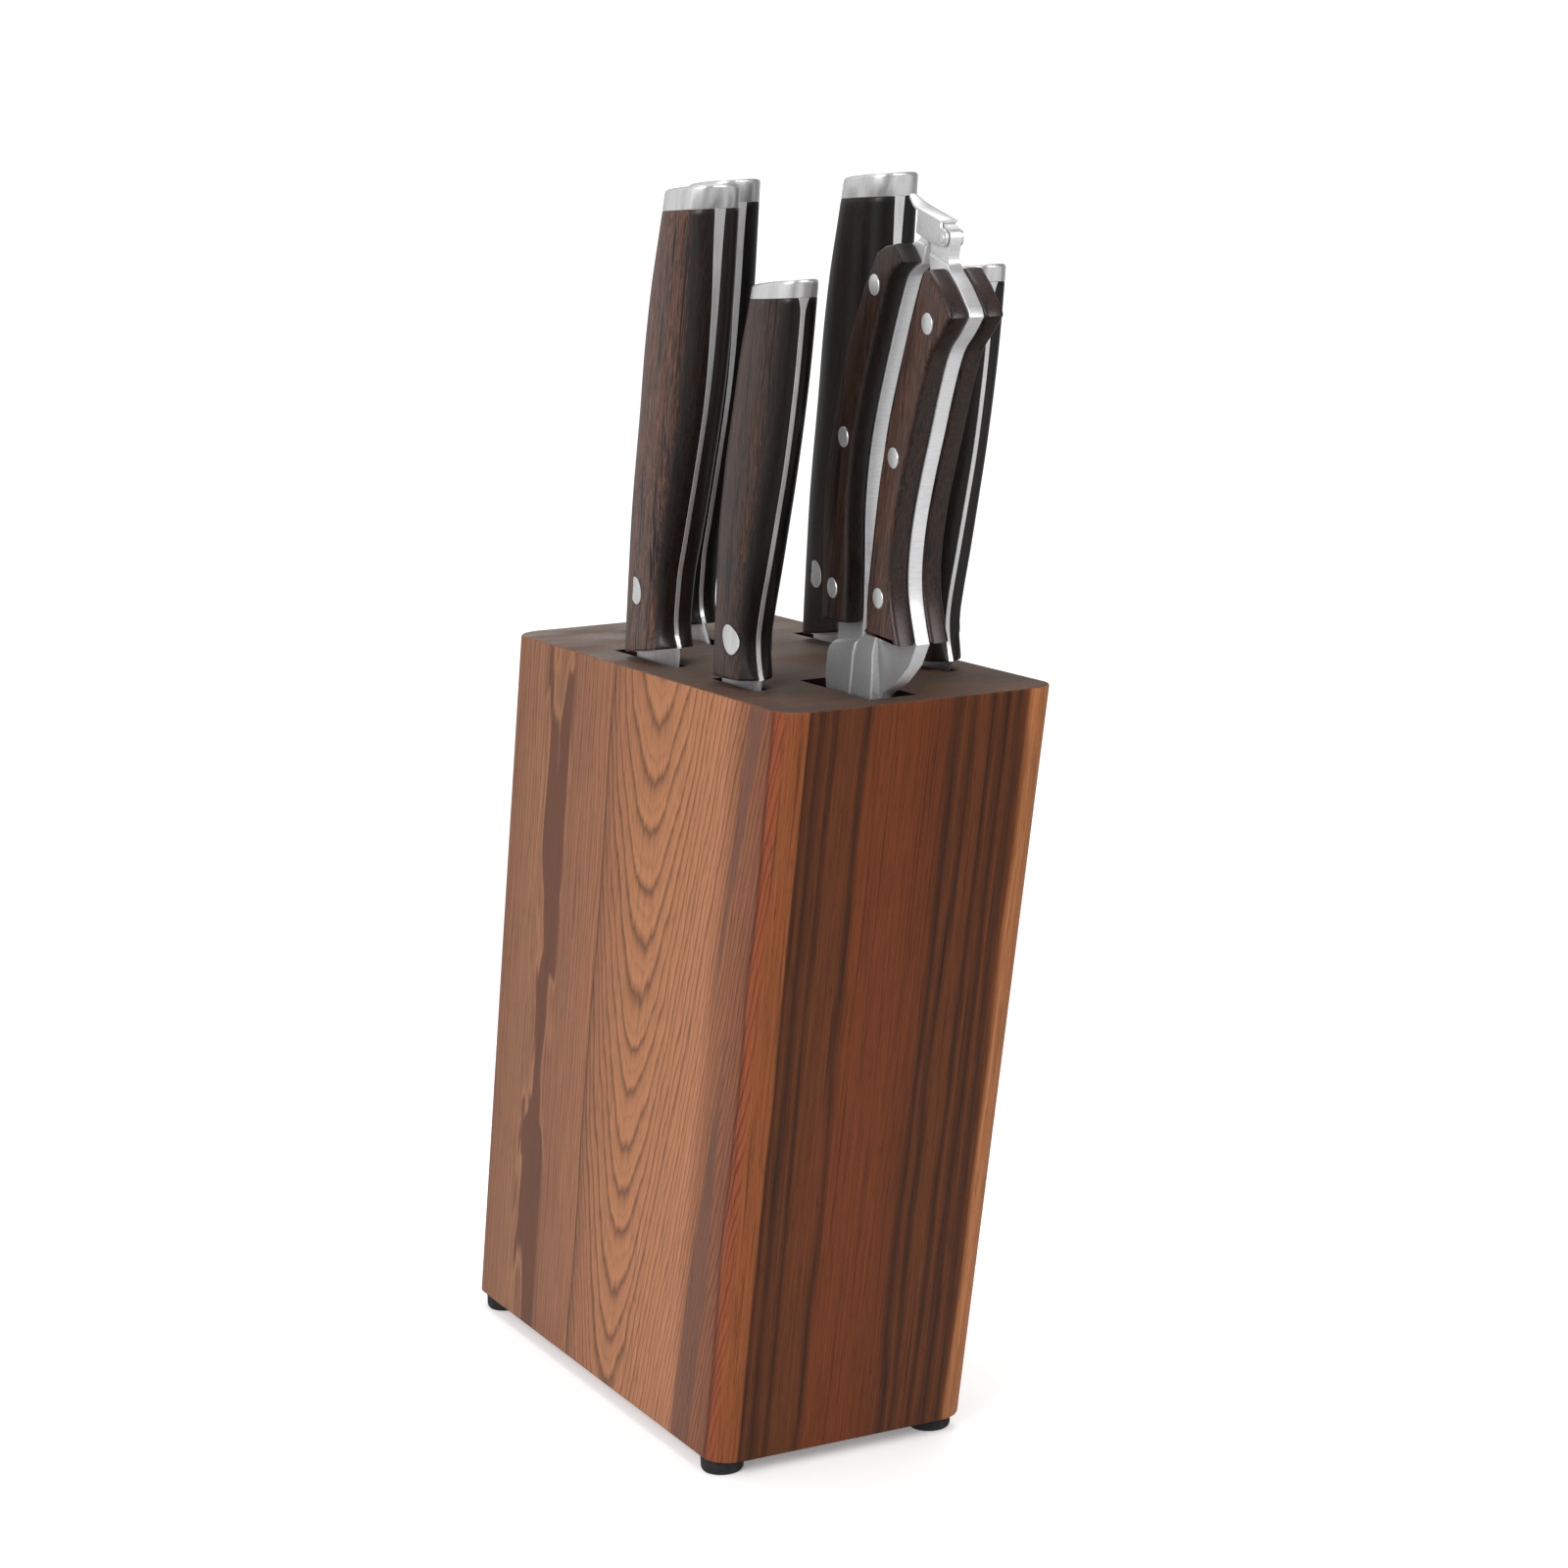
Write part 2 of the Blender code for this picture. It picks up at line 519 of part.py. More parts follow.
# ---- shears -----------------------------------------------------------------------------------------
def outline_curve(name, points, thickness, x_middle, parent, material=None, bevel=0.0):
    """A flat outline in the (across, along) plane, given a thickness along X, as a mesh object.

    The curve is drawn with a millimetre as its unit, where filling is exact, and brought to metres after.
    """
    curve = bpy.data.curves.new(name, "CURVE")
    curve.dimensions = "2D"
    curve.fill_mode = "BOTH"
    curve.extrude = thickness / 2 - bevel
    curve.bevel_depth = bevel
    curve.bevel_resolution = 0
    curve.offset = -bevel
    spline = curve.splines.new("POLY")
    spline.points.add(len(points) - 1)
    spline.use_cyclic_u = True
    for slot, (across, along) in zip(spline.points, points):
        slot.co = (across, along, 0.0, 1.0)
    drawn = bpy.data.objects.new(name, curve)
    bpy.context.scene.collection.objects.link(drawn)
    mesh = bpy.data.meshes.new_from_object(drawn.evaluated_get(bpy.context.evaluated_depsgraph_get()))
    bpy.data.objects.remove(drawn, do_unlink=True)
    bpy.data.curves.remove(curve)
    bm = bmesh.new()
    bm.from_mesh(mesh)
    bpy.data.meshes.remove(mesh)
    bmesh.ops.remove_doubles(bm, verts=bm.verts, dist=0.01)
    upright = Matrix(((0, 0, MM, x_middle * MM), (MM, 0, 0, 0), (0, MM, 0, 0), (0, 0, 0, 1)))
    bmesh.ops.transform(bm, matrix=upright, verts=bm.verts)
    if material is None:
        return new_cutter(name, bm, parent)
    return new_object(name, bm, material, parent, smooth_angle=30)


def smooth_outline(*runs):
    """Joins runs of points, each rounded off by adding the middle of a curve through its neighbours."""
    points = []
    for run in runs:
        for i, point in enumerate(run):
            points.append(point)
            if 0 < i < len(run) - 2:
                before, after, beyond = Vector(run[i - 1]), Vector(run[i + 1]), Vector(run[i + 2])
                middle = (Vector(point) + after) * 0.5625 - (before + beyond) * 0.0625
                points.append(tuple(middle))
    return points


def block_piece(name, rings, parent):
    return new_cutter(name, loft(rings), parent)


def box_ring(x_from, x_to, across_from, across_to, along):
    return [(x_from, across_from, along), (x_to, across_from, along), (x_to, across_to, along),
            (x_from, across_to, along)]


def make_shears_half(name, tang, bolster, blade, layer, holes, steel, parent):
    """Tang, shoulder and blade of one half, joined into one forging."""
    body = outline_curve(name, tang, SHEARS_TANG, 0.0, parent, steel)
    cut(body, block_piece(f"{name}_bolster", bolster, parent), "UNION")
    cut(body, outline_curve(f"{name}_blade", blade, SHEARS_BLADE, layer, parent), "UNION")
    for i, (radius, across, along) in enumerate(holes):
        cut(body, new_cutter(f"{name}_hole_{i}", cylinder(radius + GAP, -12, 12, across, along, 16), parent))
    return body


def make_shears(steel, wood, spring_steel):
    mouth = (SHEARS_X, SHEARS_Y - BLOCK_HEIGHT * math.tan(LEAN), BLOCK_HEIGHT)
    frame = new_empty("shears_slide", mouth, LEAN, BLOCK)
    rivets = [(SHEARS_RIVET_RADIUS, across, along) for across, along in BACK_RIVETS]
    pivot = (PIVOT_RADIUS, *PIVOT)
    layer = SHEARS_BLADE / 2 + GAP / 2

    back_tang = smooth_outline(((-4.2, 0.0),) + BACK_FRONT_EDGE,
                               ((-10.6, 115.8), (-15.0, 118.8), (-15.7, 123.0), (-15.4, 126.4)),
                               ((-11.8, 126.4), (-11.8, 124.7), (-10.2, 123.2)), ((-4.6, 120.0), (-0.8, 117.4)),
                               tuple(reversed(BACK_BACK_EDGE)) + ((9.6, 8), (9.8, 0.0)))
    back_bolster = [box_ring(-3.2, 4.4, -4.2, 9.0, -8.0), box_ring(-4.4, 4.4, -4.2, 9.8, 2.0),
                    box_ring(-4.0, 4.0, -4.2, 9.8, 11.0), box_ring(-2.1, 2.1, -4.0, 9.4, 12.6)]
    back_blade = ((-4.2, 2.0), (9.6, 2.0), (9.0, -10), (7.0, -24), (3.0, -36), (1.0, -60), (1.0, -90),
                  (-1.0, -118), (-5.0, -112), (-10.0, -90), (-13.2, -60), (-14.6, -34), (-14.2, -24),
                  (-11.0, -15), (-4.2, -8.8))
    back = make_shears_half("shears_back_half", back_tang, back_bolster, back_blade, layer,
                            rivets + [pivot], steel, frame)

    rivets = [(SHEARS_RIVET_RADIUS, across, along) for across, along in FRONT_RIVETS]
    pin = (LATCH_PIN_RADIUS, *LATCH_PIN)
    front_tang = smooth_outline(((-5.4, 0.0), (-6.0, 12.0), (-9.4, 20.0)) + FRONT_BACK_EDGE,
                                ((-20.8, 113.5), (-18.6, 118.7), (-17.2, 124.0), (-17.0, 130.7)),
                                ((-23.6, 130.9), (-25.7, 130.0), (-26.6, 127.9), (-26.4, 125.9)),
                                ((-26.3, 124.0), (-27.8, 121.4), (-33.4, 118.6), (-39.4, 114.6)),
                                tuple(reversed(FRONT_FRONT_EDGE))
                                + ((-29.6, 18.0), (-24.0, 11.0), (-19.6, 6.2), (-17.4, 0.0)))
    front_bolster = [box_ring(-4.4, 3.4, -15.0, -5.4, -8.0), box_ring(-4.6, 4.6, -16.6, -5.4, 1.0),
                     box_ring(-4.6, 4.6, -19.6, -5.4, 6.0), box_ring(-4.2, 4.0, -15.0, -5.6, 14.0),
                     box_ring(-2.1, 2.1, -13.0, -9.0, 22.0)]
    front_blade = ((-5.4, 2.0), (-17.0, 2.0), (-16.6, -12), (-15.0, -24), (-11.0, -36), (-8.0, -60),
                   (-6.0, -90), (-2.0, -118), (2.0, -112), (5.0, -90), (6.6, -60), (7.2, -34), (6.4, -24),
                   (3.0, -15), (-5.4, -9.0))
    front = make_shears_half("shears_front_half", front_tang, front_bolster, front_blade, -layer,
                             rivets + [pivot, pin], steel, frame)
    for half, start in zip((back, front), LATCH_NECK_STARTS):
        for side in (-1, 1):
            near, far = sorted((side * LATCH_NECK / 2, side * SHEARS_TANG))
            thinning = [box_ring(near, far, -45.0, 0.0, height) for height in (start, 140.0)]
            cut(half, block_piece(f"{half.name}_thinning_{side}", thinning, frame))

    back_top = ((-10.8, 116.2), (-15.4, 119.6), (-10.0, 122.8), (-4.4, 120.6), (-0.8, 118.0))
    front_top = ((-39.6, 114.6), (-33.4, 118.7), (-27.8, 121.4), (-25.4, 120.4), (-23.6, 114.5))
    scales = (("back", BACK_FRONT_EDGE, BACK_BACK_EDGE, back_top, BACK_RIVETS),
              ("front", FRONT_FRONT_EDGE, FRONT_BACK_EDGE, front_top, FRONT_RIVETS))
    for half, edge, far_edge, top, spots in scales:
        outline = smooth_outline(edge, top, tuple(reversed(far_edge)))
        for side, side_name in ((-1, "left"), (1, "right")):
            middle = side * (SHEARS_TANG / 2 + GAP + SHEARS_SCALE / 2)
            name = f"shears_{half}_{side_name}_scale"
            grip = outline_curve(name, outline, SHEARS_SCALE, middle, frame, wood, SHEARS_SCALE_BEVEL)
            for i, (across, along) in enumerate(spots):
                drill = cylinder(SHEARS_RIVET_RADIUS + GAP, -15, 15, across, along, 16)
                cut(grip, new_cutter(f"{name}_hole_{i}", drill, frame))
        reach = SHEARS_TANG / 2 + GAP + SHEARS_SCALE + PROUD
        for (across, along), place in zip(spots, ("top", "middle", "bottom")):
            rivet = cylinder(SHEARS_RIVET_RADIUS, -reach, reach, across, along, 16)
            new_object(f"shears_{half}_rivet_{place}", rivet, steel, frame, smooth_angle=40)

    screw = cylinder(PIVOT_RADIUS, -PIVOT_REACH, PIVOT_REACH, *PIVOT, segments=20)
    new_object("shears_pivot_screw", screw, steel, frame, smooth_angle=40)
    latch_pin = cylinder(LATCH_PIN_RADIUS, -LATCH_PIN_REACH, LATCH_PIN_REACH, *LATCH_PIN, segments=16)
    new_object("latch_pin", latch_pin, steel, frame, smooth_angle=40)
    make_latch(steel, frame)
    make_spring(spring_steel, frame)


def make_latch(steel, frame):
    """A folded sheet on the pin: two cheeks, a web over them, a wall behind the back half, a thumb tongue."""
    hinge = new_empty("shears_latch_hinge", (0.0, *LATCH_PIN), 0.0, frame)
    half = LATCH_INNER / 2 + LATCH_SHEET
    side = ((-2.3, 0.4), (-2.0, -1.2), (-0.9, -2.2), (1.0, -2.7), (3.8, -2.85), (7.7, -2.65), (13.0, -2.4),
            (13.4, 3.9), (1.8, 3.9), (1.2, 2.2), (-0.8, 2.2))
    latch = outline_curve("shears_latch", side, 2 * half, 0.0, hinge, steel)
    inside = ((-9.0, -9.0), (12.4, -9.0), (12.4, 3.9 - LATCH_SHEET), (-9.0, 3.9 - LATCH_SHEET))
    cut(latch, outline_curve("shears_latch_inside", inside, LATCH_INNER, 0.0, hinge))
    tongue = []
    for width, back, top in ((0.96, 12.2, 3.84), (0.96, 14.8, 3.95), (0.75, 17.6, 4.4), (0.43, 20.7, 5.3)):
        reach, under = half * width, top - LATCH_SHEET + 0.1
        tongue.append([(-reach, back, under), (reach, back, under), (reach, back, top), (-reach, back, top)])
    cut(latch, block_piece("shears_latch_tongue", tongue, hinge), "UNION")
    bore = cylinder(LATCH_PIN_RADIUS + GAP, -9, 9, 0.0, 0.0, 16)
    cut(latch, new_cutter("shears_latch_bore", bore, hinge))


def make_spring(steel, frame):
    """A bow of spring wire between the two halves, just above the shoulders."""
    curve = bpy.data.curves.new("shears_spring", "CURVE")
    curve.dimensions = "3D"
    curve.bevel_depth = SPRING_WIRE_RADIUS * MM
    curve.bevel_resolution = 2
    curve.use_fill_caps = True
    spline = curve.splines.new("POLY")
    spline.points.add(SPRING_STEPS)
    across, along = SPRING_MIDDLE
    half_width, height = SPRING_BOW
    for i in range(SPRING_STEPS + 1):
        angle = math.pi * i / SPRING_STEPS
        point = Vector((0.0, across - half_width * math.cos(angle), along + height * math.sin(angle)))
        spline.points[i].co = (*(point * MM), 1.0)
    obj = bpy.data.objects.new("shears_spring", curve)
    obj.parent = frame
    curve.materials.append(steel)
    PARTS.objects.link(obj)


# ---- build ------------------------------------------------------------------------------------------
clear_scene()
PARTS = new_collection("knife_block_set")
CUTTERS = new_collection("cutters")
BLOCK = new_empty("block", (0.0, BASE_Y, FOOT_HEIGHT))

BLOCK_WOOD = new_material("block_wood", (0.23, 0.085, 0.035), 0.5)
HANDLE_WOOD = new_material("handle_wood", (0.045, 0.022, 0.014), 0.4)
STEEL = new_material("polished_steel", (0.72, 0.72, 0.73), 0.25, 1.0)
SPRING_STEEL = new_material("spring_steel", (0.5, 0.5, 0.52), 0.35, 1.0)
SCREW_STEEL = new_material("screw_steel", (0.4, 0.4, 0.42), 0.4, 1.0)
RUBBER = new_material("rubber", (0.015, 0.016, 0.018), 0.75)

make_feet(RUBBER, SCREW_STEEL, make_block(BLOCK_WOOD))
for knife_name, knife_values in KNIVES.items():
    make_knife(knife_name, knife_values, STEEL, HANDLE_WOOD)
make_shears(STEEL, HANDLE_WOOD, SPRING_STEEL)
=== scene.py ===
"""Leaning wooden knife block with five knives and latched poultry shears: its looks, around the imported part.

Helpers take millimetres. Every piece is made in the frame of what it belongs to, so that its object
coordinates stay with it: the block's (across X, depth, height above its base) or a handle's (across X,
across the handle towards its spine, up along the slot).
"""

import json
import math

import bmesh
import bpy
from mathutils import Matrix, Vector


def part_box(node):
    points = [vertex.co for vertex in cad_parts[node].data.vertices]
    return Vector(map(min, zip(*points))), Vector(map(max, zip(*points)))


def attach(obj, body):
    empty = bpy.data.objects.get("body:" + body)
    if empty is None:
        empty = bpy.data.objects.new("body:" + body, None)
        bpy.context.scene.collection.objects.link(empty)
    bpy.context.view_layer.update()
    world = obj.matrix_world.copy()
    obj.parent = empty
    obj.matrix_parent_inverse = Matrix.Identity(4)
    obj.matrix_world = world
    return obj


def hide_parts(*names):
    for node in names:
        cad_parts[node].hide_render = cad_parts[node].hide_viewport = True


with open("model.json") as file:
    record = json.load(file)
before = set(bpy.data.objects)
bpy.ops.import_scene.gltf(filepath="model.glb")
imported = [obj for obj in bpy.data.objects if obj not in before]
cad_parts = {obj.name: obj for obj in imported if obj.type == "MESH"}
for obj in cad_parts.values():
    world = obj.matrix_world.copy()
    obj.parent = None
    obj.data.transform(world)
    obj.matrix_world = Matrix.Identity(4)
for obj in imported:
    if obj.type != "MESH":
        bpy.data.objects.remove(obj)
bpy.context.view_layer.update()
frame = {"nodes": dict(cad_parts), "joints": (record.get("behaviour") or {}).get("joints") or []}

MM = 0.001

# ---- places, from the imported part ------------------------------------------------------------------
JOINTS = {joint["name"]: joint for joint in frame["joints"]}
SLOT_AXIS = Vector(JOINTS["chef_knife_lift"]["axis"])
LEAN = math.atan2(-SLOT_AXIS.y, SLOT_AXIS.z)
TILT = Matrix.Rotation(LEAN, 4, "X")
SLOPE = math.tan(LEAN)
CORE_LOW, CORE_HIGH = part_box("left_core")
HEIGHT = (CORE_HIGH.z - CORE_LOW.z) / MM
BASE = Vector((0.0, (CORE_LOW.y + CORE_HIGH.y + HEIGHT * MM * SLOPE) / 2, CORE_LOW.z))
DEPTH = (CORE_HIGH.y - CORE_LOW.y) / MM - HEIGHT * SLOPE
HALF_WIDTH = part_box("right_cheek")[1].x / MM
BLOCK_FRAME = Matrix.Translation(BASE)

BOARDS = ("left_cheek", "right_cheek", "left_core", "right_core", "left_spacer_front", "left_spacer_middle",
          "left_spacer_back", "right_spacer_front", "right_spacer_middle", "right_spacer_back",
          "middle_spacer_front", "middle_spacer_centre", "middle_spacer_back", "chef_slot_filler")
FEET = ("front_left", "front_right", "back_left", "back_right")
SIDES = ((-1, "left"), (1, "right"))

# ---- shapes, in millimetres ------------------------------------------------------------------------
HALF_GAP = 0.145              # brings boards together over the clearance that the CAD leaves
CORNER_RADIUS = 8.4
TOP_EDGE = 0.7
TIGHT = 0.03                  # joint between the tang and its scales
RIVET_RADIUS = 4.1
SCALE_POINTS = 30
METAL_POINTS = 56

# Outlines as (height above the block's top, distance from the slot's middle towards the spine), half
# thickness by height, and the slanted ends as (height, slope).
LONG_HANDLE = {
    "belly": ((7, -17.0), (10, -15.6), (14, -13.2), (20, -11.9), (27, -11.9), (40, -13.8), (60, -17.1),
              (80, -19.8), (95, -20.5), (110, -20.2), (125, -19.2), (144, -18.6)),
    "spine": ((-5, 10.0), (20, 10.7), (45, 11.1), (70, 10.5), (90, 9.8), (105, 8.4), (120, 6.0), (144, 3.0)),
    "half": ((-5, 6.7), (10, 6.8), (25, 7.2), (45, 8.1), (70, 8.8), (95, 9.2), (115, 9.1), (144, 8.2)),
    "start": (3.0, 0.42), "cap": (128.4, 0.30), "end": (134.2, 0.34), "rivet": (21.0, 1.0),
    "waist": -11.9, "beak": 5.2, "beak_top": 17.0, "flare": 0.45,
}
SHORT_HANDLE = {
    "belly": ((3, -15.4), (6, -14.2), (9, -12.6), (13, -10.8), (18, -9.9), (25, -10.5), (36, -12.2),
              (50, -14.3), (65, -16.4), (80, -17.6), (95, -18.1), (119, -17.8)),
    "spine": ((-3, 7.9), (20, 8.7), (40, 10.8), (55, 10.9), (75, 9.0), (90, 7.2), (100, 5.4), (119, 1.6)),
    "half": ((-3, 5.4), (12, 5.7), (20, 6.1), (60, 7.0), (90, 7.0), (119, 6.4)),
    "start": (2.2, 0.30), "cap": (106.0, 0.30), "end": (109.8, 0.36), "rivet": (14.8, -4.4),
    "waist": -9.9, "beak": 5.4, "beak_top": 12.0, "flare": 0.955,
}
# tone darkens each handle's wood; the chef knife's low tone is partly painted shade, for the shade of the
# knives around it
KNIVES = {
    "chef_knife": dict(handle=LONG_HANDLE, tone=0.3, sweep=2.0, blade=200.0, heel=-24.0, deepest=-24.0,
                       tip=4.0, heel_drop=6.5),
    "carving_knife": dict(handle=LONG_HANDLE, tone=1.0, sweep=0.0, blade=200.0, heel=-16.2, deepest=-15.0,
                          tip=2.0, heel_drop=0.0),
    "bread_knife": dict(handle=LONG_HANDLE, tone=0.3, sweep=5.2, blade=200.0, heel=-15.6, deepest=-15.4,
                        tip=-2.0, heel_drop=0.0),
    "utility_knife": dict(handle=SHORT_HANDLE, tone=0.7, sweep=0.0, blade=130.0, heel=-14.2, deepest=-12.8,
                          tip=1.0, heel_drop=0.0),
    "paring_knife": dict(handle=SHORT_HANDLE, tone=0.8, sweep=5.0, blade=90.0, heel=-13.2, deepest=-11.8,
                         tip=1.0, heel_drop=0.0),
}
TANG_THIN, TANG_THICK = 0.7, 1.6
BLADE_HALF, EDGE_HALF = 1.1, 0.12
CAP_RIM = 0.9
RING_POINTS = 48

SHEARS_PIVOT = (-4.0, -24.0)
SHEARS_TANG = 4.0
LATCH_NECK = 3.0              # thickness of both halves where the latch holds them
BACK_NECK_START, FRONT_NECK_START = 123.3, 121.9
LATCH_PIN_RADIUS = 1.3
SHEARS_SCALE = 5.7
SHEARS_BLADE = 3.0
SHEARS_RIVET = 2.7
LATCH_HALF = 2.5
LATCH_SHEET = 0.7
BACK_FRONT_EDGE = ((-3.9, 20.2), (-2.9, 28), (-1.2, 38), (0.9, 50), (1.4, 63), (0.2, 75), (-2.3, 88),
                   (-5.4, 102), (-8.4, 113))
BACK_BACK_EDGE = ((9.4, 18.5), (10.4, 26), (12.3, 37), (14.3, 50), (14.0, 60), (12.6, 72), (11.4, 80),
                  (9.8, 89), (7.3, 98), (3.9, 108))
FRONT_BACK_EDGE = ((-15.2, 22.5), (-13.8, 32), (-13.7, 45), (-14.0, 62), (-15.3, 75), (-17.3, 87),
                   (-19.6, 100), (-21.6, 107))
FRONT_FRONT_EDGE = ((-32.2, 24.8), (-29.4, 29), (-25.8, 36), (-24.1, 44), (-24.1, 55), (-25.7, 67),
                    (-28.0, 79), (-30.2, 91), (-33.0, 101.5), (-37.2, 107.6), (-40.6, 113.0))
BACK_RIVETS = {"top": (-2.0, 110.0), "middle": (6.2, 67.5), "bottom": (4.2, 27.0)}
FRONT_RIVETS = {"top": (-30.4, 108.6), "middle": (-20.6, 71.0), "bottom": (-20.4, 33.5)}


# ---- making pieces ---------------------------------------------------------------------------------
def piece(name, bm, where, material, body, slot, *nodes, sharp=35.0):
    """A mesh piece in the frame `where`, riding on a body, standing for CAD nodes."""
    mesh = bpy.data.meshes.new(name)
    bmesh.ops.recalc_face_normals(bm, faces=bm.faces)
    bm.to_mesh(mesh)
    bm.free()
    mesh.shade_smooth()
    mesh.set_sharp_from_angle(angle=math.radians(sharp))
    mesh.materials.append(material)
    obj = bpy.data.objects.new(name, mesh)
    bpy.context.scene.collection.objects.link(obj)
    obj.matrix_world = where
    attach(obj, body)
    if nodes:
        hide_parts(*nodes)


def repaint(node, material):
    """Gives a CAD node that stays in the scene a material."""
    materials = frame["nodes"][node].data.materials
    materials.clear()
    materials.append(material)


def curve_through(points, where):
    """Smooth value at `where` on a line of (place, value) points: a cubic with limited slopes."""
    places = [place for place, _ in points]
    values = [value for _, value in points]
    slopes = [(values[i + 1] - values[i]) / (places[i + 1] - places[i]) for i in range(len(points) - 1)]
    inner = [(a + b) / 2 if a * b > 0 else 0.0 for a, b in zip(slopes, slopes[1:])]
    tangents = [slopes[0]] + inner + [slopes[-1]]
    where = min(max(where, places[0]), places[-1])
    i = max(k for k in range(len(points) - 1) if places[k] <= where)
    span = places[i + 1] - places[i]
    t = (where - places[i]) / span
    rise = values[i + 1] - values[i]
    return (values[i] + t * t * (3 - 2 * t) * rise
            + span * t * (1 - t) * ((1 - t) * tangents[i] - t * tangents[i + 1]))


def smoothstep(low, high, value):
    t = min(max((value - low) / (high - low), 0.0), 1.0)
    return t * t * (3 - 2 * t)


def bridge(bm, lower, upper):
    """Faces between two loops of equal point counts."""
    for i in range(len(lower)):
        j = (i + 1) % len(lower)
        bm.faces.new((lower[i], lower[j], upper[j], upper[i]))


def loft(rings):
    """A closed body through rings of equal point counts."""
    bm = bmesh.new()
    loops = [[bm.verts.new(Vector(point) * MM) for point in ring] for ring in rings]
    for lower, upper in zip(loops, loops[1:]):
        bridge(bm, lower, upper)
    bm.faces.new(list(reversed(loops[0])))
    bm.faces.new(loops[-1])
    return bm


def lathe(profile, segments=48):
    """A body turned about Z through (radius, height) points."""
    rings = []
    for radius, height in profile:
        angles = [2 * math.pi * i / segments for i in range(segments)]
        rings.append([(radius * math.cos(a), radius * math.sin(a), height) for a in angles])
    return loft(rings)


def outlined(points, half, x_middle, rim):
    """A flat outline in the (across, along) plane with thickness along X and rounded rims."""
    curve = bpy.data.curves.new("outline", "CURVE")
    curve.dimensions = "2D"
    curve.fill_mode = "BOTH"
    curve.extrude = half - rim
    curve.bevel_depth = rim
    curve.bevel_resolution = 3
    curve.offset = -rim
    spline = curve.splines.new("POLY")
    spline.points.add(len(points) - 1)
    spline.use_cyclic_u = True
    for slot, (across, along) in zip(spline.points, points):
        slot.co = (across, along, 0.0, 1.0)
    drawn = bpy.data.objects.new("outline", curve)
    bpy.context.scene.collection.objects.link(drawn)
    mesh = bpy.data.meshes.new_from_object(drawn.evaluated_get(bpy.context.evaluated_depsgraph_get()))
    bpy.data.objects.remove(drawn, do_unlink=True)
    bpy.data.curves.remove(curve)
    bm = bmesh.new()
    bm.from_mesh(mesh)
    bpy.data.meshes.remove(mesh)
    bmesh.ops.remove_doubles(bm, verts=bm.verts, dist=0.005)
    upright = Matrix(((0, 0, MM, x_middle * MM), (MM, 0, 0, 0), (0, MM, 0, 0), (0, 0, 0, 1)))
    bmesh.ops.transform(bm, matrix=upright, verts=bm.verts)
    return bm


def run_through(points, steps=4):
    """A smooth line through points, with its two ends kept."""
    line = []
    ends = [points[0], *points, points[-1]]
    for before, start, stop, after in zip(ends, ends[1:], ends[2:], ends[3:]):
        p, q, r, s = Vector(before), Vector(start), Vector(stop), Vector(after)
        for i in range(steps):
            t = i / steps
            point = 0.5 * (2 * q + (r - p) * t + (2 * p - 5 * q + 4 * r - s) * t * t
                           + (3 * q - p - 3 * r + s) * t ** 3)
            line.append(tuple(point))
    line.append(tuple(points[-1]))
    return line


def joined(bm, other):
    """Adds one body's faces to another's."""
    mesh = bpy.data.meshes.new("part")
    other.to_mesh(mesh)
    other.free()
    bm.from_mesh(mesh)
    bpy.data.meshes.remove(mesh)


# ---- material helpers ------------------------------------------------------------------------------
def linear(red, green, blue):
    """Linear colour of an 8-bit one."""
    def channel(value):
        value /= 255
        return value / 12.92 if value <= 0.04045 else ((value + 0.055) / 1.055) ** 2.4
    return (channel(red), channel(green), channel(blue), 1.0)


def toned(tone, *colours):
    """Linear colours of 8-bit ones, all darkened by the same factor."""
    return [linear(*(tone * part for part in colour)) for colour in colours]


class Nodes:
    """Adds linked nodes to a tree."""

    def __init__(self, tree):
        self.tree = tree
        self.coordinates = self.add("TexCoord")

    def add(self, kind, **settings):
        node = self.tree.nodes.new("ShaderNode" + kind)
        for key, value in settings.items():
            setattr(node, key, value)
        return node

    def put(self, socket, value):
        if isinstance(value, bpy.types.NodeSocket):
            self.tree.links.new(value, socket)
        else:
            socket.default_value = value

    def math(self, operation, *values):
        node = self.add("Math", operation=operation)
        for socket, value in zip(node.inputs, values):
            self.put(socket, value)
        return node.outputs[0]

    def plus(self, first, second):
        return self.math("ADD", first, second)

    def minus(self, first, second):
        return self.math("SUBTRACT", first, second)

    def times(self, first, second):
        return self.math("MULTIPLY", first, second)

    def line(self, value, slope, start):
        return self.math("MULTIPLY_ADD", value, slope, start)

    def absolute(self, value):
        return self.math("ABSOLUTE", value)

    def ease(self, value, low, high):
        """Rises smoothly from 0 to 1 as the value goes from low to high."""
        node = self.add("MapRange", interpolation_type="SMOOTHSTEP")
        self.put(node.inputs["Value"], value)
        node.inputs["From Min"].default_value = low
        node.inputs["From Max"].default_value = high
        return node.outputs["Result"]


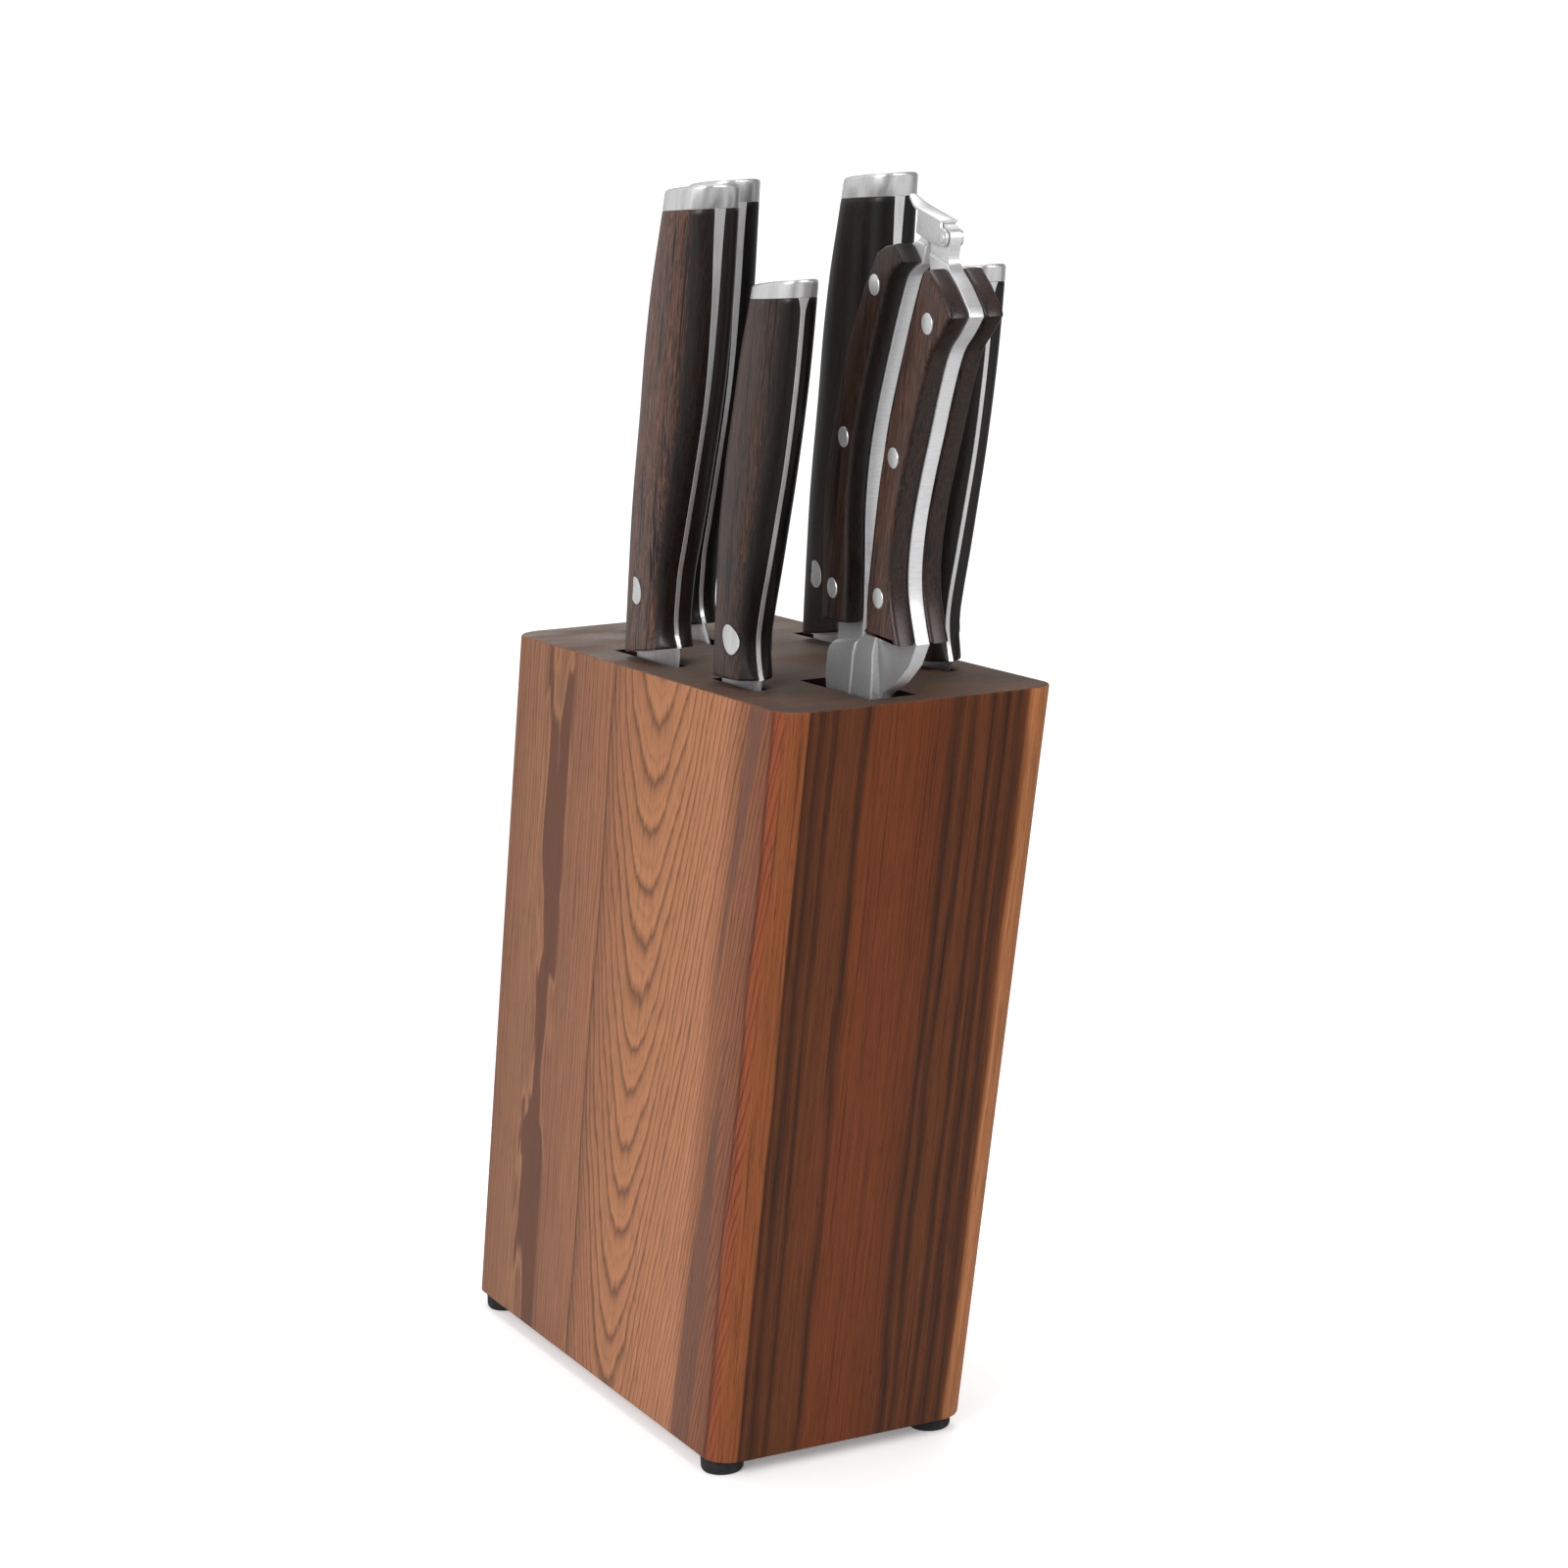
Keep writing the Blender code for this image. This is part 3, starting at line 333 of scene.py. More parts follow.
class Looks(Nodes):
    """Builds one material's nodes."""

    def __init__(self, name):
        self.material = bpy.data.materials.new(name)
        self.material.use_nodes = True
        super().__init__(self.material.node_tree)
        self.shader = self.tree.nodes["Principled BSDF"]

    def set(self, **values):
        for name, value in values.items():
            self.put(self.shader.inputs[name.replace("_", " ")], value)

    def split(self, vector):
        node = self.add("SeparateXYZ")
        self.put(node.inputs[0], vector)
        return node.outputs

    def vector(self, x, y, z):
        node = self.add("CombineXYZ")
        for socket, value in zip(node.inputs, (x, y, z)):
            self.put(socket, value)
        return node.outputs[0]

    def millimetres(self):
        scaled = self.add("VectorMath", operation="SCALE")
        self.put(scaled.inputs[0], self.coordinates.outputs["Object"])
        scaled.inputs["Scale"].default_value = 1 / MM
        return self.split(scaled.outputs[0])

    def grain(self, parts, factors, detail=3.0, roughness=0.55, distortion=0.0, seed=0.0):
        """Noise over coordinates that are each scaled by their own factor."""
        node = self.add("TexNoise")
        scaled = [self.line(part, factor, seed) for part, factor in zip(parts, factors)]
        self.put(node.inputs["Vector"], self.vector(*scaled))
        node.inputs["Scale"].default_value = 1.0
        node.inputs["Detail"].default_value = detail
        node.inputs["Roughness"].default_value = roughness
        node.inputs["Distortion"].default_value = distortion
        return node.outputs["Fac"]

    def swing(self, noise, amount):
        """Noise as an offset of up to about half of amount either way."""
        return self.line(noise, amount, -amount / 2)

    def ramp(self, factor, *stops):
        """Colours at places from 0 to 1."""
        node = self.add("ValToRGB")
        self.put(node.inputs[0], factor)
        while len(node.color_ramp.elements) < len(stops):
            node.color_ramp.elements.new(0.5)
        for element, (place, _) in zip(node.color_ramp.elements, stops):
            element.position = place
        for element, (_, colour) in zip(node.color_ramp.elements, stops):
            element.color = colour if isinstance(colour, tuple) else (colour, colour, colour, 1.0)
        return node.outputs["Color"]

    def mix(self, factor, first, second, blend="MIX"):
        node = self.add("Mix", data_type="RGBA", blend_type=blend)
        self.put(node.inputs["Factor"], factor)
        self.put(node.inputs[6], first)
        self.put(node.inputs[7], second)
        return node.outputs[2]

    def bump(self, height, distance, strength=1.0):
        node = self.add("Bump")
        self.put(node.inputs["Height"], height)
        node.inputs["Distance"].default_value = distance * MM
        node.inputs["Strength"].default_value = strength
        self.put(self.shader.inputs["Normal"], node.outputs["Normal"])


def spread(low, high, stops):
    """Colour stops given in millimetres, as places from 0 to 1."""
    return [((place - low) / (high - low), colour) for place, colour in stops]


# ---- block wood ------------------------------------------------------------------------------------
def side_grain(n, parts):
    """Colour of the broad faces: an arched stave in front, a straight-grained one at the back."""
    across, depth, height = parts
    slow = n.grain(parts, (0.02, 0.05, 0.013), 2.0)
    fine = n.grain(parts, (0.25, 0.4, 0.016), 3.0)
    bent = n.plus(depth, n.swing(slow, 9.0))
    off_middle = n.plus(bent, 15.4)
    bowl = n.line(height, 0.14, 28.0)
    square = n.line(bowl, bowl, n.times(off_middle, off_middle))
    rise = n.minus(n.math("SQRT", square), bowl)
    level = n.line(rise, -10.0, height)
    uneven = n.grain((across, depth, level), (0.0, 0.0, 0.03), 2.0)
    phase = n.line(level, 1 / 15.7, n.plus(n.swing(fine, 0.5), n.swing(uneven, 1.6)))
    arches = n.ramp(n.math("FRACT", phase), (0.0, 0.42), (0.04, 0.26), (0.12, 0.6), (0.24, 1.0),
                    (0.45, 0.9), (0.52, 0.74), (0.6, 0.95), (0.86, 0.74), (1.0, 0.42))
    lines_phase = n.line(bent, 0.5, n.swing(fine, 1.6))
    lines = n.ramp(n.math("FRACT", lines_phase), (0.0, 0.72), (0.1, 0.55), (0.35, 0.95), (0.8, 1.0),
                   (1.0, 0.72))
    wandering = n.plus(depth, n.swing(n.grain(parts, (0.1, 0.01, 0.02), 1.0), 5.0))
    share = n.line(wandering, 1 / DEPTH, 0.5)
    base = n.ramp(share, *spread(-DEPTH / 2, DEPTH / 2, (
        (-91.5, linear(132, 66, 37)), (-85.0, linear(130, 67, 38)), (-84.0, linear(84, 34, 20)),
        (-82.6, linear(118, 71, 49)), (-66.0, linear(135, 87, 60)), (-58.0, linear(163, 110, 80)),
        (-36.0, linear(160, 108, 76)), (-12.0, linear(158, 107, 74)), (8.0, linear(146, 97, 69)),
        (14.2, linear(130, 88, 64)), (14.8, linear(66, 38, 27)), (15.6, linear(141, 94, 68)),
        (32.0, linear(133, 90, 66)), (50.0, linear(125, 84, 62)), (66.0, linear(135, 94, 68)),
        (91.5, linear(122, 80, 60)))))
    back = n.ease(wandering, 14.2, 15.4)
    shade = n.mix(back, arches, lines)
    colour = n.mix(0.85, base, shade, "MULTIPLY")
    return streaked(n, colour, parts, back)


def streaked(n, colour, parts, back):
    """Adds the dark wedge beside the front corner and the flamed band of the back stave."""
    _, depth, height = parts
    ripple = n.swing(n.grain(parts, (0.2, 0.5, 0.03), 3.0), 3.0)
    masks = []
    for middle, half in (((-0.135, -45.9), (0.052, -6.7)), ((-0.06, -66.6), (-0.07, 9.1))):
        away = n.absolute(n.minus(n.plus(depth, ripple), n.line(height, *middle)))
        inside = n.minus(n.math("MINIMUM", n.line(height, *half), 6.0), away)
        masks.append(n.ease(inside, -0.8, 1.2))
    wedge = n.times(n.math("MAXIMUM", *masks), 0.75)
    colour = n.mix(wedge, colour, linear(92, 62, 52))
    band = n.minus(1.0, n.ease(n.absolute(n.minus(depth, 52.5)), 8.0, 13.0))
    patch = n.grain(parts, (0.05, 0.085, 0.016), 2.0, 0.5, 0.4, seed=4.3)
    flamed = n.times(band, back)
    light = n.times(flamed, n.ease(patch, 0.44, 0.5))
    dark = n.times(flamed, n.ease(patch, 0.5, 0.54))
    colour = n.mix(n.times(light, 0.38), colour, linear(160, 114, 84))
    return n.mix(n.times(dark, 0.85), colour, linear(82, 48, 36))


def front_grain(n, parts):
    """Colour of the narrow faces: quarter-sawn stripes of uneven width."""
    across = parts[0]
    wander = n.swing(n.grain(parts, (0.06, 0.02, 0.008), 2.0), 7.0)
    wander = n.times(wander, n.ease(across, -33.0, -20.0))
    ripple = n.swing(n.grain(parts, (0.9, 0.1, 0.03), 3.0), 1.2)
    place = n.plus(n.plus(across, wander), ripple)
    dark, mid, red = linear(58, 30, 15), linear(92, 48, 21), linear(104, 51, 20)
    stops = ((-40, linear(125, 70, 38)), (-33.6, linear(124, 69, 37)), (-33.0, dark), (-31.4, mid),
             (-30, dark), (-26.6, mid), (-25.2, dark), (-23.6, mid), (-17.6, mid), (-16, dark), (-14.4, red),
             (-2, red), (8.0, linear(94, 46, 19)), (10.4, dark), (12, mid), (14, dark), (15.6, mid),
             (18.8, mid), (20.2, dark), (22, mid), (25, dark), (26.6, mid), (29, linear(66, 36, 19)),
             (31.2, mid), (33, linear(164, 106, 66)), (40, linear(166, 106, 64)))
    share = n.line(place, 0.5 / HALF_WIDTH, 0.5)
    stripes = n.ramp(share, *spread(-HALF_WIDTH, HALF_WIDTH, stops))
    lines = n.grain(parts, (1.3, 0.2, 0.012), 4.0, 0.6, seed=2.0)
    faded = n.grain(parts, (0.12, 0.05, 0.009), 2.0, seed=7.0)
    plain = n.mix(n.ease(across, 28.0, 36.0), red, linear(150, 96, 59))
    stripes = n.mix(n.ease(faded, 0.54, 0.9), stripes, plain)
    lines = n.ramp(lines, (0.32, 0.42), (0.45, 0.95), (0.53, 0.62), (0.6, 1.0), (0.72, 0.7))
    return n.mix(0.85, stripes, lines, "MULTIPLY")


def end_grain(n, parts):
    """Colour of the top: dark end grain with faint rings."""
    slow = n.grain(parts, (0.03, 0.05, 0.0), 2.0)
    streak = n.grain(parts, (0.06, 0.9, 0.0), 4.0, 0.65)
    grey = n.mix(n.ease(parts[1], -60.0, 70.0), linear(80, 66, 59), linear(124, 115, 110))
    colour = n.mix(n.ease(slow, 0.35, 0.7), grey, linear(96, 72, 60))
    streak = n.ramp(streak, (0.35, 0.42), (0.47, 0.95), (0.55, 0.7), (0.65, 1.1))
    return n.mix(0.9, colour, streak, "MULTIPLY")


def block_wood():
    n = Looks("block_wood_grain")
    across, flat_depth, height = n.millimetres()
    depth = n.line(height, SLOPE, flat_depth)
    parts = (across, depth, height)
    facing = n.split(n.coordinates.outputs["Normal"])
    side = n.ease(n.absolute(facing[0]), 0.72, 0.9)
    top = n.ease(facing[2], 0.6, 0.85)
    colour = n.mix(side, front_grain(n, parts), side_grain(n, parts))
    colour = n.mix(top, colour, end_grain(n, parts))
    # painted shade: the walls facing into the slots are coloured nearly black, standing in for the shade
    # inside the slots
    inside = n.times(n.math("LESS_THAN", n.absolute(across), HALF_WIDTH - 9),
                     n.math("LESS_THAN", n.absolute(depth), DEPTH / 2 - 7))
    inside = n.times(inside, n.minus(1.0, n.ease(n.absolute(facing[2]), 0.4, 0.6)))
    colour = n.mix(inside, colour, linear(24, 15, 11))
    fibre = n.grain(parts, (1.3, 1.3, 0.028), 6.0, 0.68)
    fibre_shade = n.ramp(fibre, (0.34, 0.5), (0.47, 0.86), (0.56, 1.0), (0.7, 0.8))
    colour = n.mix(0.8, colour, fibre_shade, "MULTIPLY")
    colour = n.mix(1.0, colour, (1.12, 1.08, 1.0, 1.0), "MULTIPLY")
    pores = n.ease(n.grain(parts, (3.4, 3.4, 0.16), 2.0, 0.5), 0.62, 0.7)
    colour = n.mix(n.times(pores, 0.45), colour, linear(40, 22, 14))
    roughness = n.plus(n.line(fibre, 0.2, 0.4), n.times(top, 0.1))
    n.set(Base_Color=colour, Roughness=roughness, Specular_IOR_Level=0.18)
    n.bump(n.minus(n.times(fibre, 0.4), pores), 0.05, 0.5)
    return n.material


# ---- other materials -------------------------------------------------------------------------------
def handle_wood(name, seed, dark, light, warm, coat, painted_belly_shade=0.0):
    """Lacquered wood with fine streaks up the handle, and painted shade on faces turned to the belly or up."""
    n = Looks(name)
    parts = n.millimetres()
    broad = n.grain(parts, (0.16, 0.16, 0.012), 3.0, 0.6, 0.4, seed=seed)
    streak = n.grain(parts, (0.9, 0.9, 0.022), 5.0, 0.62, seed=seed)
    fine = n.grain(parts, (3.2, 3.2, 0.06), 3.0, 0.6, seed=seed)
    tone = n.line(n.minus(streak, 0.5), 1.3, broad)
    colour = n.ramp(tone, (0.3, dark), (0.4, light), (0.47, dark), (0.53, warm), (0.58, dark), (0.66, light),
                    (0.74, dark))
    colour = n.mix(0.8, colour, n.ramp(fine, (0.38, 0.2), (0.5, 0.8), (0.62, 1.0)), "MULTIPLY")
    facing = n.split(n.coordinates.outputs["Normal"])
    # painted shade: faces turned towards the belly, or up, are darkened towards near black for the shade that
    # falls on them
    belly = n.math("MAXIMUM", n.ease(n.times(facing[1], -1.0), 0.25, 0.7), n.ease(facing[2], 0.2, 0.6))
    colour = n.mix(n.times(belly, painted_belly_shade), colour, linear(10, 8, 7))
    n.set(Base_Color=colour, Roughness=n.line(fine, 0.25, 0.3), Coat_Weight=coat,
          Coat_Roughness=0.2, Specular_IOR_Level=0.27)
    n.bump(n.plus(fine, n.times(streak, 0.5)), 0.06, 0.5)
    return n.material


def steel(name, colour, roughness, spread_by, brushing, bump, metallic, painted_side_shade, painted_top_shade):
    """Metal with fine polishing marks and painted shade; brushing is the scale of the marks along each axis.

    With a bump of 0 the marks only tint the metal, and its surface has a slow waviness instead.
    """
    n = Looks(name)
    parts = n.millimetres()
    marks = n.grain(parts, brushing, 4.0, 0.6)
    smudge = n.grain(parts, (0.06, 0.06, 0.05), 3.0)
    value = n.line(marks, spread_by, roughness)
    tinted = n.mix(n.ease(smudge, 0.35, 0.65), colour, tuple(0.93 * c for c in colour[:3]) + (1.0,))
    facing = n.split(n.coordinates.outputs["Normal"])
    brushed = n.mix(0.5, tinted, n.ramp(marks, (0.32, 0.7), (0.5, 0.93), (0.66, 1.0)), "MULTIPLY")
    # painted shade: colour darkened on faces turned to the sides, fading out from 50 to 115 mm along, and on
    # faces turned up
    side = n.ease(n.absolute(facing[0]), 0.5, 0.9)
    side = n.times(side, n.minus(1.0, n.ease(parts[2], 50.0, 115.0)))
    top = n.ease(facing[2], 0.45, 0.85)
    shade = n.times(n.line(side, painted_side_shade - 1, 1.0), n.line(top, painted_top_shade - 1, 1.0))
    n.set(Base_Color=n.mix(1.0, brushed, n.vector(shade, shade, shade), "MULTIPLY"),
          Metallic=metallic, Roughness=n.line(n.minus(smudge, 0.5), 0.06, value))
    if bump:
        n.bump(marks, bump, 0.25)
    else:
        n.bump(smudge, 0.12, 0.25)
    return n.material


def rubber():
    n = Looks("foot_rubber")
    parts = n.millimetres()
    dust = n.grain(parts, (0.5, 0.5, 0.5), 4.0)
    grit = n.grain(parts, (4.0, 4.0, 4.0), 2.0)
    n.set(Base_Color=n.ramp(dust, (0.35, linear(22, 22, 23)), (0.7, linear(38, 38, 39))),
          Roughness=n.line(grit, 0.2, 0.6), Specular_IOR_Level=0.35)
    n.bump(grit, 0.04, 0.5)
    return n.material


# ---- block -----------------------------------------------------------------------------------------
def board_piece(node, wood):
    """One leaning board, its outer edges rounded, brought up to its neighbours."""
    low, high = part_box(node)
    x_from, x_to = low.x / MM, high.x / MM
    y_from, y_to = (low.y - BASE.y) / MM + HEIGHT * SLOPE, (high.y - BASE.y) / MM
    if x_from > -HALF_WIDTH + 1:
        x_from -= HALF_GAP
    if x_to < HALF_WIDTH - 1:
        x_to += HALF_GAP
    if node == "chef_slot_filler":
        y_from, y_to = y_from - 2 * HALF_GAP, y_to + 2 * HALF_GAP
    bm = bmesh.new()
    bmesh.ops.create_cube(bm, size=1.0)
    size = Vector((x_to - x_from, y_to - y_from, HEIGHT)) * MM
    middle = Vector(((x_from + x_to) / 2, (y_from + y_to) / 2, HEIGHT / 2)) * MM
    bmesh.ops.scale(bm, verts=bm.verts, vec=size)
    bmesh.ops.translate(bm, verts=bm.verts, vec=middle)
    outer = HALF_WIDTH * MM - 1e-6
    upright = [edge for edge in bm.edges
               if abs(edge.verts[0].co.z - edge.verts[1].co.z) > size.z / 2
               and abs(edge.verts[0].co.x) > outer]
    if upright:
        bmesh.ops.bevel(bm, geom=upright, offset=CORNER_RADIUS * MM, segments=20, affect="EDGES",
                        profile=0.5)
    rim = [edge for edge in bm.edges if on_rim(edge)]
    bmesh.ops.bevel(bm, geom=rim, offset=TOP_EDGE * MM, segments=4, affect="EDGES", profile=0.5)
    bmesh.ops.transform(bm, matrix=Matrix.Shear("XY", 4, (0.0, -SLOPE)), verts=bm.verts)
    piece(f"{node}_wood", bm, BLOCK_FRAME, wood, "block", "block_wood", node, sharp=28)


def on_rim(edge):
    """True for a top or bottom edge on the block's outside, not on a glued face or a slot."""
    first, second = (vert.co / MM for vert in edge.verts)
    if abs(first.z - second.z) > 0.01 or 0.01 < first.z < HEIGHT - 0.01:
        return False
    if abs(first.x - second.x) < 0.01:
        return HALF_WIDTH - abs(first.x) < 0.01
    at_end = abs(abs(first.y) - DEPTH / 2) < 0.01 and abs(abs(second.y) - DEPTH / 2) < 0.01
    curved = abs(first.y - second.y) > 0.01
    return at_end or curved


def make_block():
    wood = block_wood()
    for node in BOARDS:
        board_piece(node, wood)
    black = rubber()
    for foot in FEET:
        low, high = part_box(f"{foot}_foot")
        middle = (low + high) / 2
        radius, tall = (high.x - low.x) / 2 / MM - 0.8, (high.z - low.z) / MM
        profile = ((radius - 2.6, 2.2), (radius - 2.7, 0.2), (radius - 2.4, 0.0), (radius - 1.3, 0.0),
                   (radius - 0.55, 0.25), (radius - 0.15, 0.8), (radius - 0.02, 1.6), (radius, tall - 0.2),
                   (radius - 0.2, tall))
        where = Matrix.Translation((middle.x, middle.y, low.z))
        piece(f"{foot}_foot_rubber", lathe(profile), where, black, "block", "rubber", f"{foot}_foot")


# ---- knives ----------------------------------------------------------------------------------------
class Handle:
    """Outline, section and surface of one knife's handle."""

    def __init__(self, knife):
        self.shape = knife["handle"]
        self.sweep = knife["sweep"]
        self.length = self.shape["cap"][0]

    def shift(self, along):
        return self.sweep * max(along, 0.0) / self.length

    def belly(self, along):
        return curve_through(self.shape["belly"], along) + self.shift(along)

    def spine(self, along):
        return curve_through(self.shape["spine"], along) + self.shift(along)

    def half(self, along):
        return curve_through(self.shape["half"], along)

    def power(self, along):
        """Squareness of the section, highest near the blade."""
        return 3.4 - 0.9 * smoothstep(0.0, 0.6 * self.length, along)

    def tang(self, along):
        start = self.shape["flare"] * self.length
        t = min(max((along - start) / (self.length - start), 0.0), 1.0)
        return TANG_THIN + (TANG_THICK - TANG_THIN) * t * t

    def beak(self, across, along):
        """How much of its thickness the handle keeps in the hooked foot of its belly."""
        waist = self.shape["waist"] + self.shift(along)
        low = 1 - smoothstep(self.shape["beak_top"], self.shape["beak_top"] + 8.0, along)
        return 1 - 0.6 * low * smoothstep(0.0, self.shape["beak"], waist - across)

    def surface(self, across, along):
        """Half thickness of the handle at a point of its side."""
        belly, spine = self.belly(along), self.spine(along)
        middle, reach = (belly + spine) / 2, (spine - belly) / 2
        power = self.power(along)
        part = max(1 - abs((across - middle) / reach) ** power, 0.0) ** (1 / power)
        return self.half(along) * part * self.beak(across, along)


def slanted(slant, across):
    height, slope = slant
    return height - slope * across


def handle_ring(handle, low, high, share, section, inset=0.0):
    """A ring `share` of the way between two slanted planes, drawn in by `inset`."""
    shift = handle.shift(low[0] * (1 - share) + high[0] * share)

    def height(across):
        return slanted(low, across - shift) * (1 - share) + slanted(high, across - shift) * share
    along = height(shift)
    belly = handle.belly(height(handle.belly(along))) + inset
    spine = handle.spine(height(handle.spine(along))) - inset
    half = handle.half(along) - inset
    return [(x, across, height(across)) for x, across in section(handle, along, belly, spine, half)]


def rounded_side(handle, along, belly, spine, half, inner, count):
    """Points (x, across) of half a section, from belly to spine, outside the half thickness `inner`."""
    power = handle.power(along)
    middle, reach = (belly + spine) / 2, (spine - belly) / 2
    start = math.asin(min((inner / half) ** (power / 2), 1.0))
    points = []
    for i in range(count):
        angle = start + (math.pi - 2 * start) * i / (count - 1)
        cosine, sine = math.cos(angle), math.sin(angle)
        across = middle - reach * math.copysign(abs(cosine) ** (2 / power), cosine)
        x = half * sine ** (2 / power)
        points.append((inner + (x - inner) * handle.beak(across, along), across))
    return points


def scale_section(side):
    def section(handle, along, belly, spine, half):
        inner = handle.tang(along) + TIGHT
        outer = rounded_side(handle, along, belly, spine, half, inner, SCALE_POINTS)
        return [(side * x, across) for x, across in outer]
    return section


def whole_section(handle, along, belly, spine, half):
    side = rounded_side(handle, along, belly, spine, half, 0.02, METAL_POINTS // 2 + 1)
    right = [(0.0, side[0][1])] + side[1:-1] + [(0.0, side[-1][1])]
    return right + [(-x, across) for x, across in reversed(side[1:-1])]


def tang_section(handle, along, belly, spine, half):
    """The flat bar of the tang, its narrow edges slightly crowned."""
    tang = handle.tang(along)
    side = rounded_side(handle, along, belly, spine, half, tang, 3)
    low, high = side[0][1], side[-1][1]
    count = METAL_POINTS // 2 - 1
    right = []
    for i in range(count):
        share = i / (count - 1)
        right.append((tang, low + (high - low) * share))
    crown = 0.06
    right[0] = (tang - 0.12, low - crown)
    right[-1] = (tang - 0.12, high + crown)
    right[1] = (tang, low + 0.12)
    right[-2] = (tang, high - 0.12)
    return ([(0.0, low - crown)] + right + [(0.0, high + crown)]
            + [(-x, across) for x, across in reversed(right)])


def blade_ring(edge, spine, along_edge, along_spine):
    count = METAL_POINTS // 2
    ring = []
    for i in range(count + 1):
        share = i / count
        x = EDGE_HALF + (BLADE_HALF - EDGE_HALF) * min(share / 0.7, 1.0) ** 0.9
        x = 0.0 if i in (0, count) else x
        ring.append((x, edge + (spine - edge) * share, along_edge + (along_spine - along_edge) * share))
    return ring + [(-x, across, along) for x, across, along in reversed(ring[1:-1])]


def blade_rings(knife, handle):
    """Rings from the tip up to the heel."""
    spine_top = handle.spine(0.0) - 0.2
    length, tip = knife["blade"], knife["tip"]
    rings = []
    for i in range(31):
        share = (i / 32) ** 1.6
        edge = tip - 0.4 + (knife["deepest"] - tip) * (1 - (1 - share) ** 2.6)
        spine = tip + 0.4 + (spine_top - tip) * (1 - (1 - share) ** 3.2)
        rings.append(blade_ring(edge, spine, -length * (1 - share), -length * (1 - share)))
    start = handle.shape["start"]
    heel = slanted(start, handle.belly(8.0)) - knife["heel_drop"]
    rings.append(blade_ring(knife["heel"], spine_top, heel - 3.0, slanted(start, spine_top) - 2.0))
    return rings


def metal_body(knife, handle):
    """Blade, tang and end cap as one forging."""
    shape = handle.shape
    rings = blade_rings(knife, handle)
    steps = 64
    rings += [handle_ring(handle, shape["start"], shape["cap"], i / steps, tang_section)
              for i in range(steps + 1)]
    rings.append(handle_ring(handle, shape["cap"], shape["end"], 0.0, whole_section, 0.12))
    rings.append(handle_ring(handle, shape["cap"], shape["end"], 0.03, whole_section))
    length = shape["end"][0] - shape["cap"][0]
    for i in range(7):
        angle = math.pi / 2 * i / 6
        share = 1 - (CAP_RIM - CAP_RIM * math.sin(angle)) / length
        rings.append(handle_ring(handle, shape["cap"], shape["end"], share, whole_section,
                                 CAP_RIM * (1 - math.cos(angle))))
    return loft(rings)


def scale_body(handle, side):
    shape = handle.shape
    start = (shape["start"][0] + 0.05, shape["start"][1])
    stop = (shape["cap"][0] - TIGHT, shape["cap"][1])
    steps = 84
    shares = [0.0, 0.002] + [(i / steps) ** 1.15 for i in range(1, steps)] + [0.999, 1.0]
    insets = [0.3, 0.05] + [0.0] * (steps - 1) + [0.02, 0.1]
    rings = [handle_ring(handle, start, stop, share, scale_section(side), inset)
             for share, inset in zip(shares, insets)]
    return loft(rings)


def ring_on_side(bm, handle, side, radius, spot, proud):
    """A loop round a spot (across, along) that follows the handle's side, standing `proud` of it."""
    loop = []
    for i in range(RING_POINTS):
        angle = 2 * math.pi * i / RING_POINTS
        across = spot[0] + radius * math.cos(angle)
        along = spot[1] + radius * math.sin(angle)
        x = side * (handle.surface(across, along) + proud)
        loop.append(bm.verts.new(Vector((x, across, along)) * MM))
    return loop


def flush_disc(handle, side, spot, proud):
    """A rivet end ground flush with the handle's side, with a rounded rim and a short skirt."""
    bm = bmesh.new()
    middle = bm.verts.new(Vector((side * (handle.surface(*spot) + proud), *spot)) * MM)
    rings = ((0.3, 0.0), (0.6, 0.0), (0.85, 0.0), (0.95, -0.01), (0.985, -0.04), (1.0, -0.12), (1.0, -1.6))
    loops = [ring_on_side(bm, handle, side, RIVET_RADIUS * share, spot, proud + drop)
             for share, drop in rings]
    for i in range(RING_POINTS):
        bm.faces.new((middle, loops[0][i], loops[0][(i + 1) % RING_POINTS]))
    for inner, outer in zip(loops, loops[1:]):
        bridge(bm, inner, outer)
    return bm


def ring_groove(handle, side, spot):
    """The thin dark joint round a rivet, as a flat ring just under its rim."""
    bm = bmesh.new()
    radii = (RIVET_RADIUS - 0.05, RIVET_RADIUS + 0.16)
    bridge(bm, *(ring_on_side(bm, handle, side, radius, spot, 0.012) for radius in radii))
    return bm


def knife_frame(name, shape):
    """The frame of a slot, found from the middle of the knife's rivet."""
    low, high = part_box(f"{name}_rivet")
    along, across = shape["rivet"]
    middle = (low + high) / 2
    origin = middle - TILT @ Vector((0.0, across, along)) * MM
    return Matrix.Translation(origin) @ TILT


def make_knife(name, knife, metal, groove, seed):
    handle = Handle(knife)
    where = knife_frame(name, handle.shape)
    tones = toned(knife["tone"], (24, 16, 14), (104, 76, 66), (134, 86, 62))
    # 0.9 is the painted shade on the handle's faces turned to the belly or up
    wood = handle_wood(f"{name}_wood", seed, *tones, 0.18 * knife["tone"], 0.9)
    piece(f"{name}_steel", metal_body(knife, handle), where, metal, name, "polished_steel", f"{name}_blade",
          sharp=32)
    along, across = handle.shape["rivet"]
    spot = (across, along)
    for side, side_name in SIDES:
        piece(f"{name}_{side_name}_grip", scale_body(handle, side), where, wood, name, "handle_wood",
              f"{name}_{side_name}_scale", sharp=50)
        piece(f"{name}_rivet_{side_name}_groove", ring_groove(handle, side, spot), where, groove, name,
              "handle_wood")
        piece(f"{name}_rivet_{side_name}", flush_disc(handle, side, spot, 0.02), where, metal, name,
              "polished_steel", f"{name}_rivet")


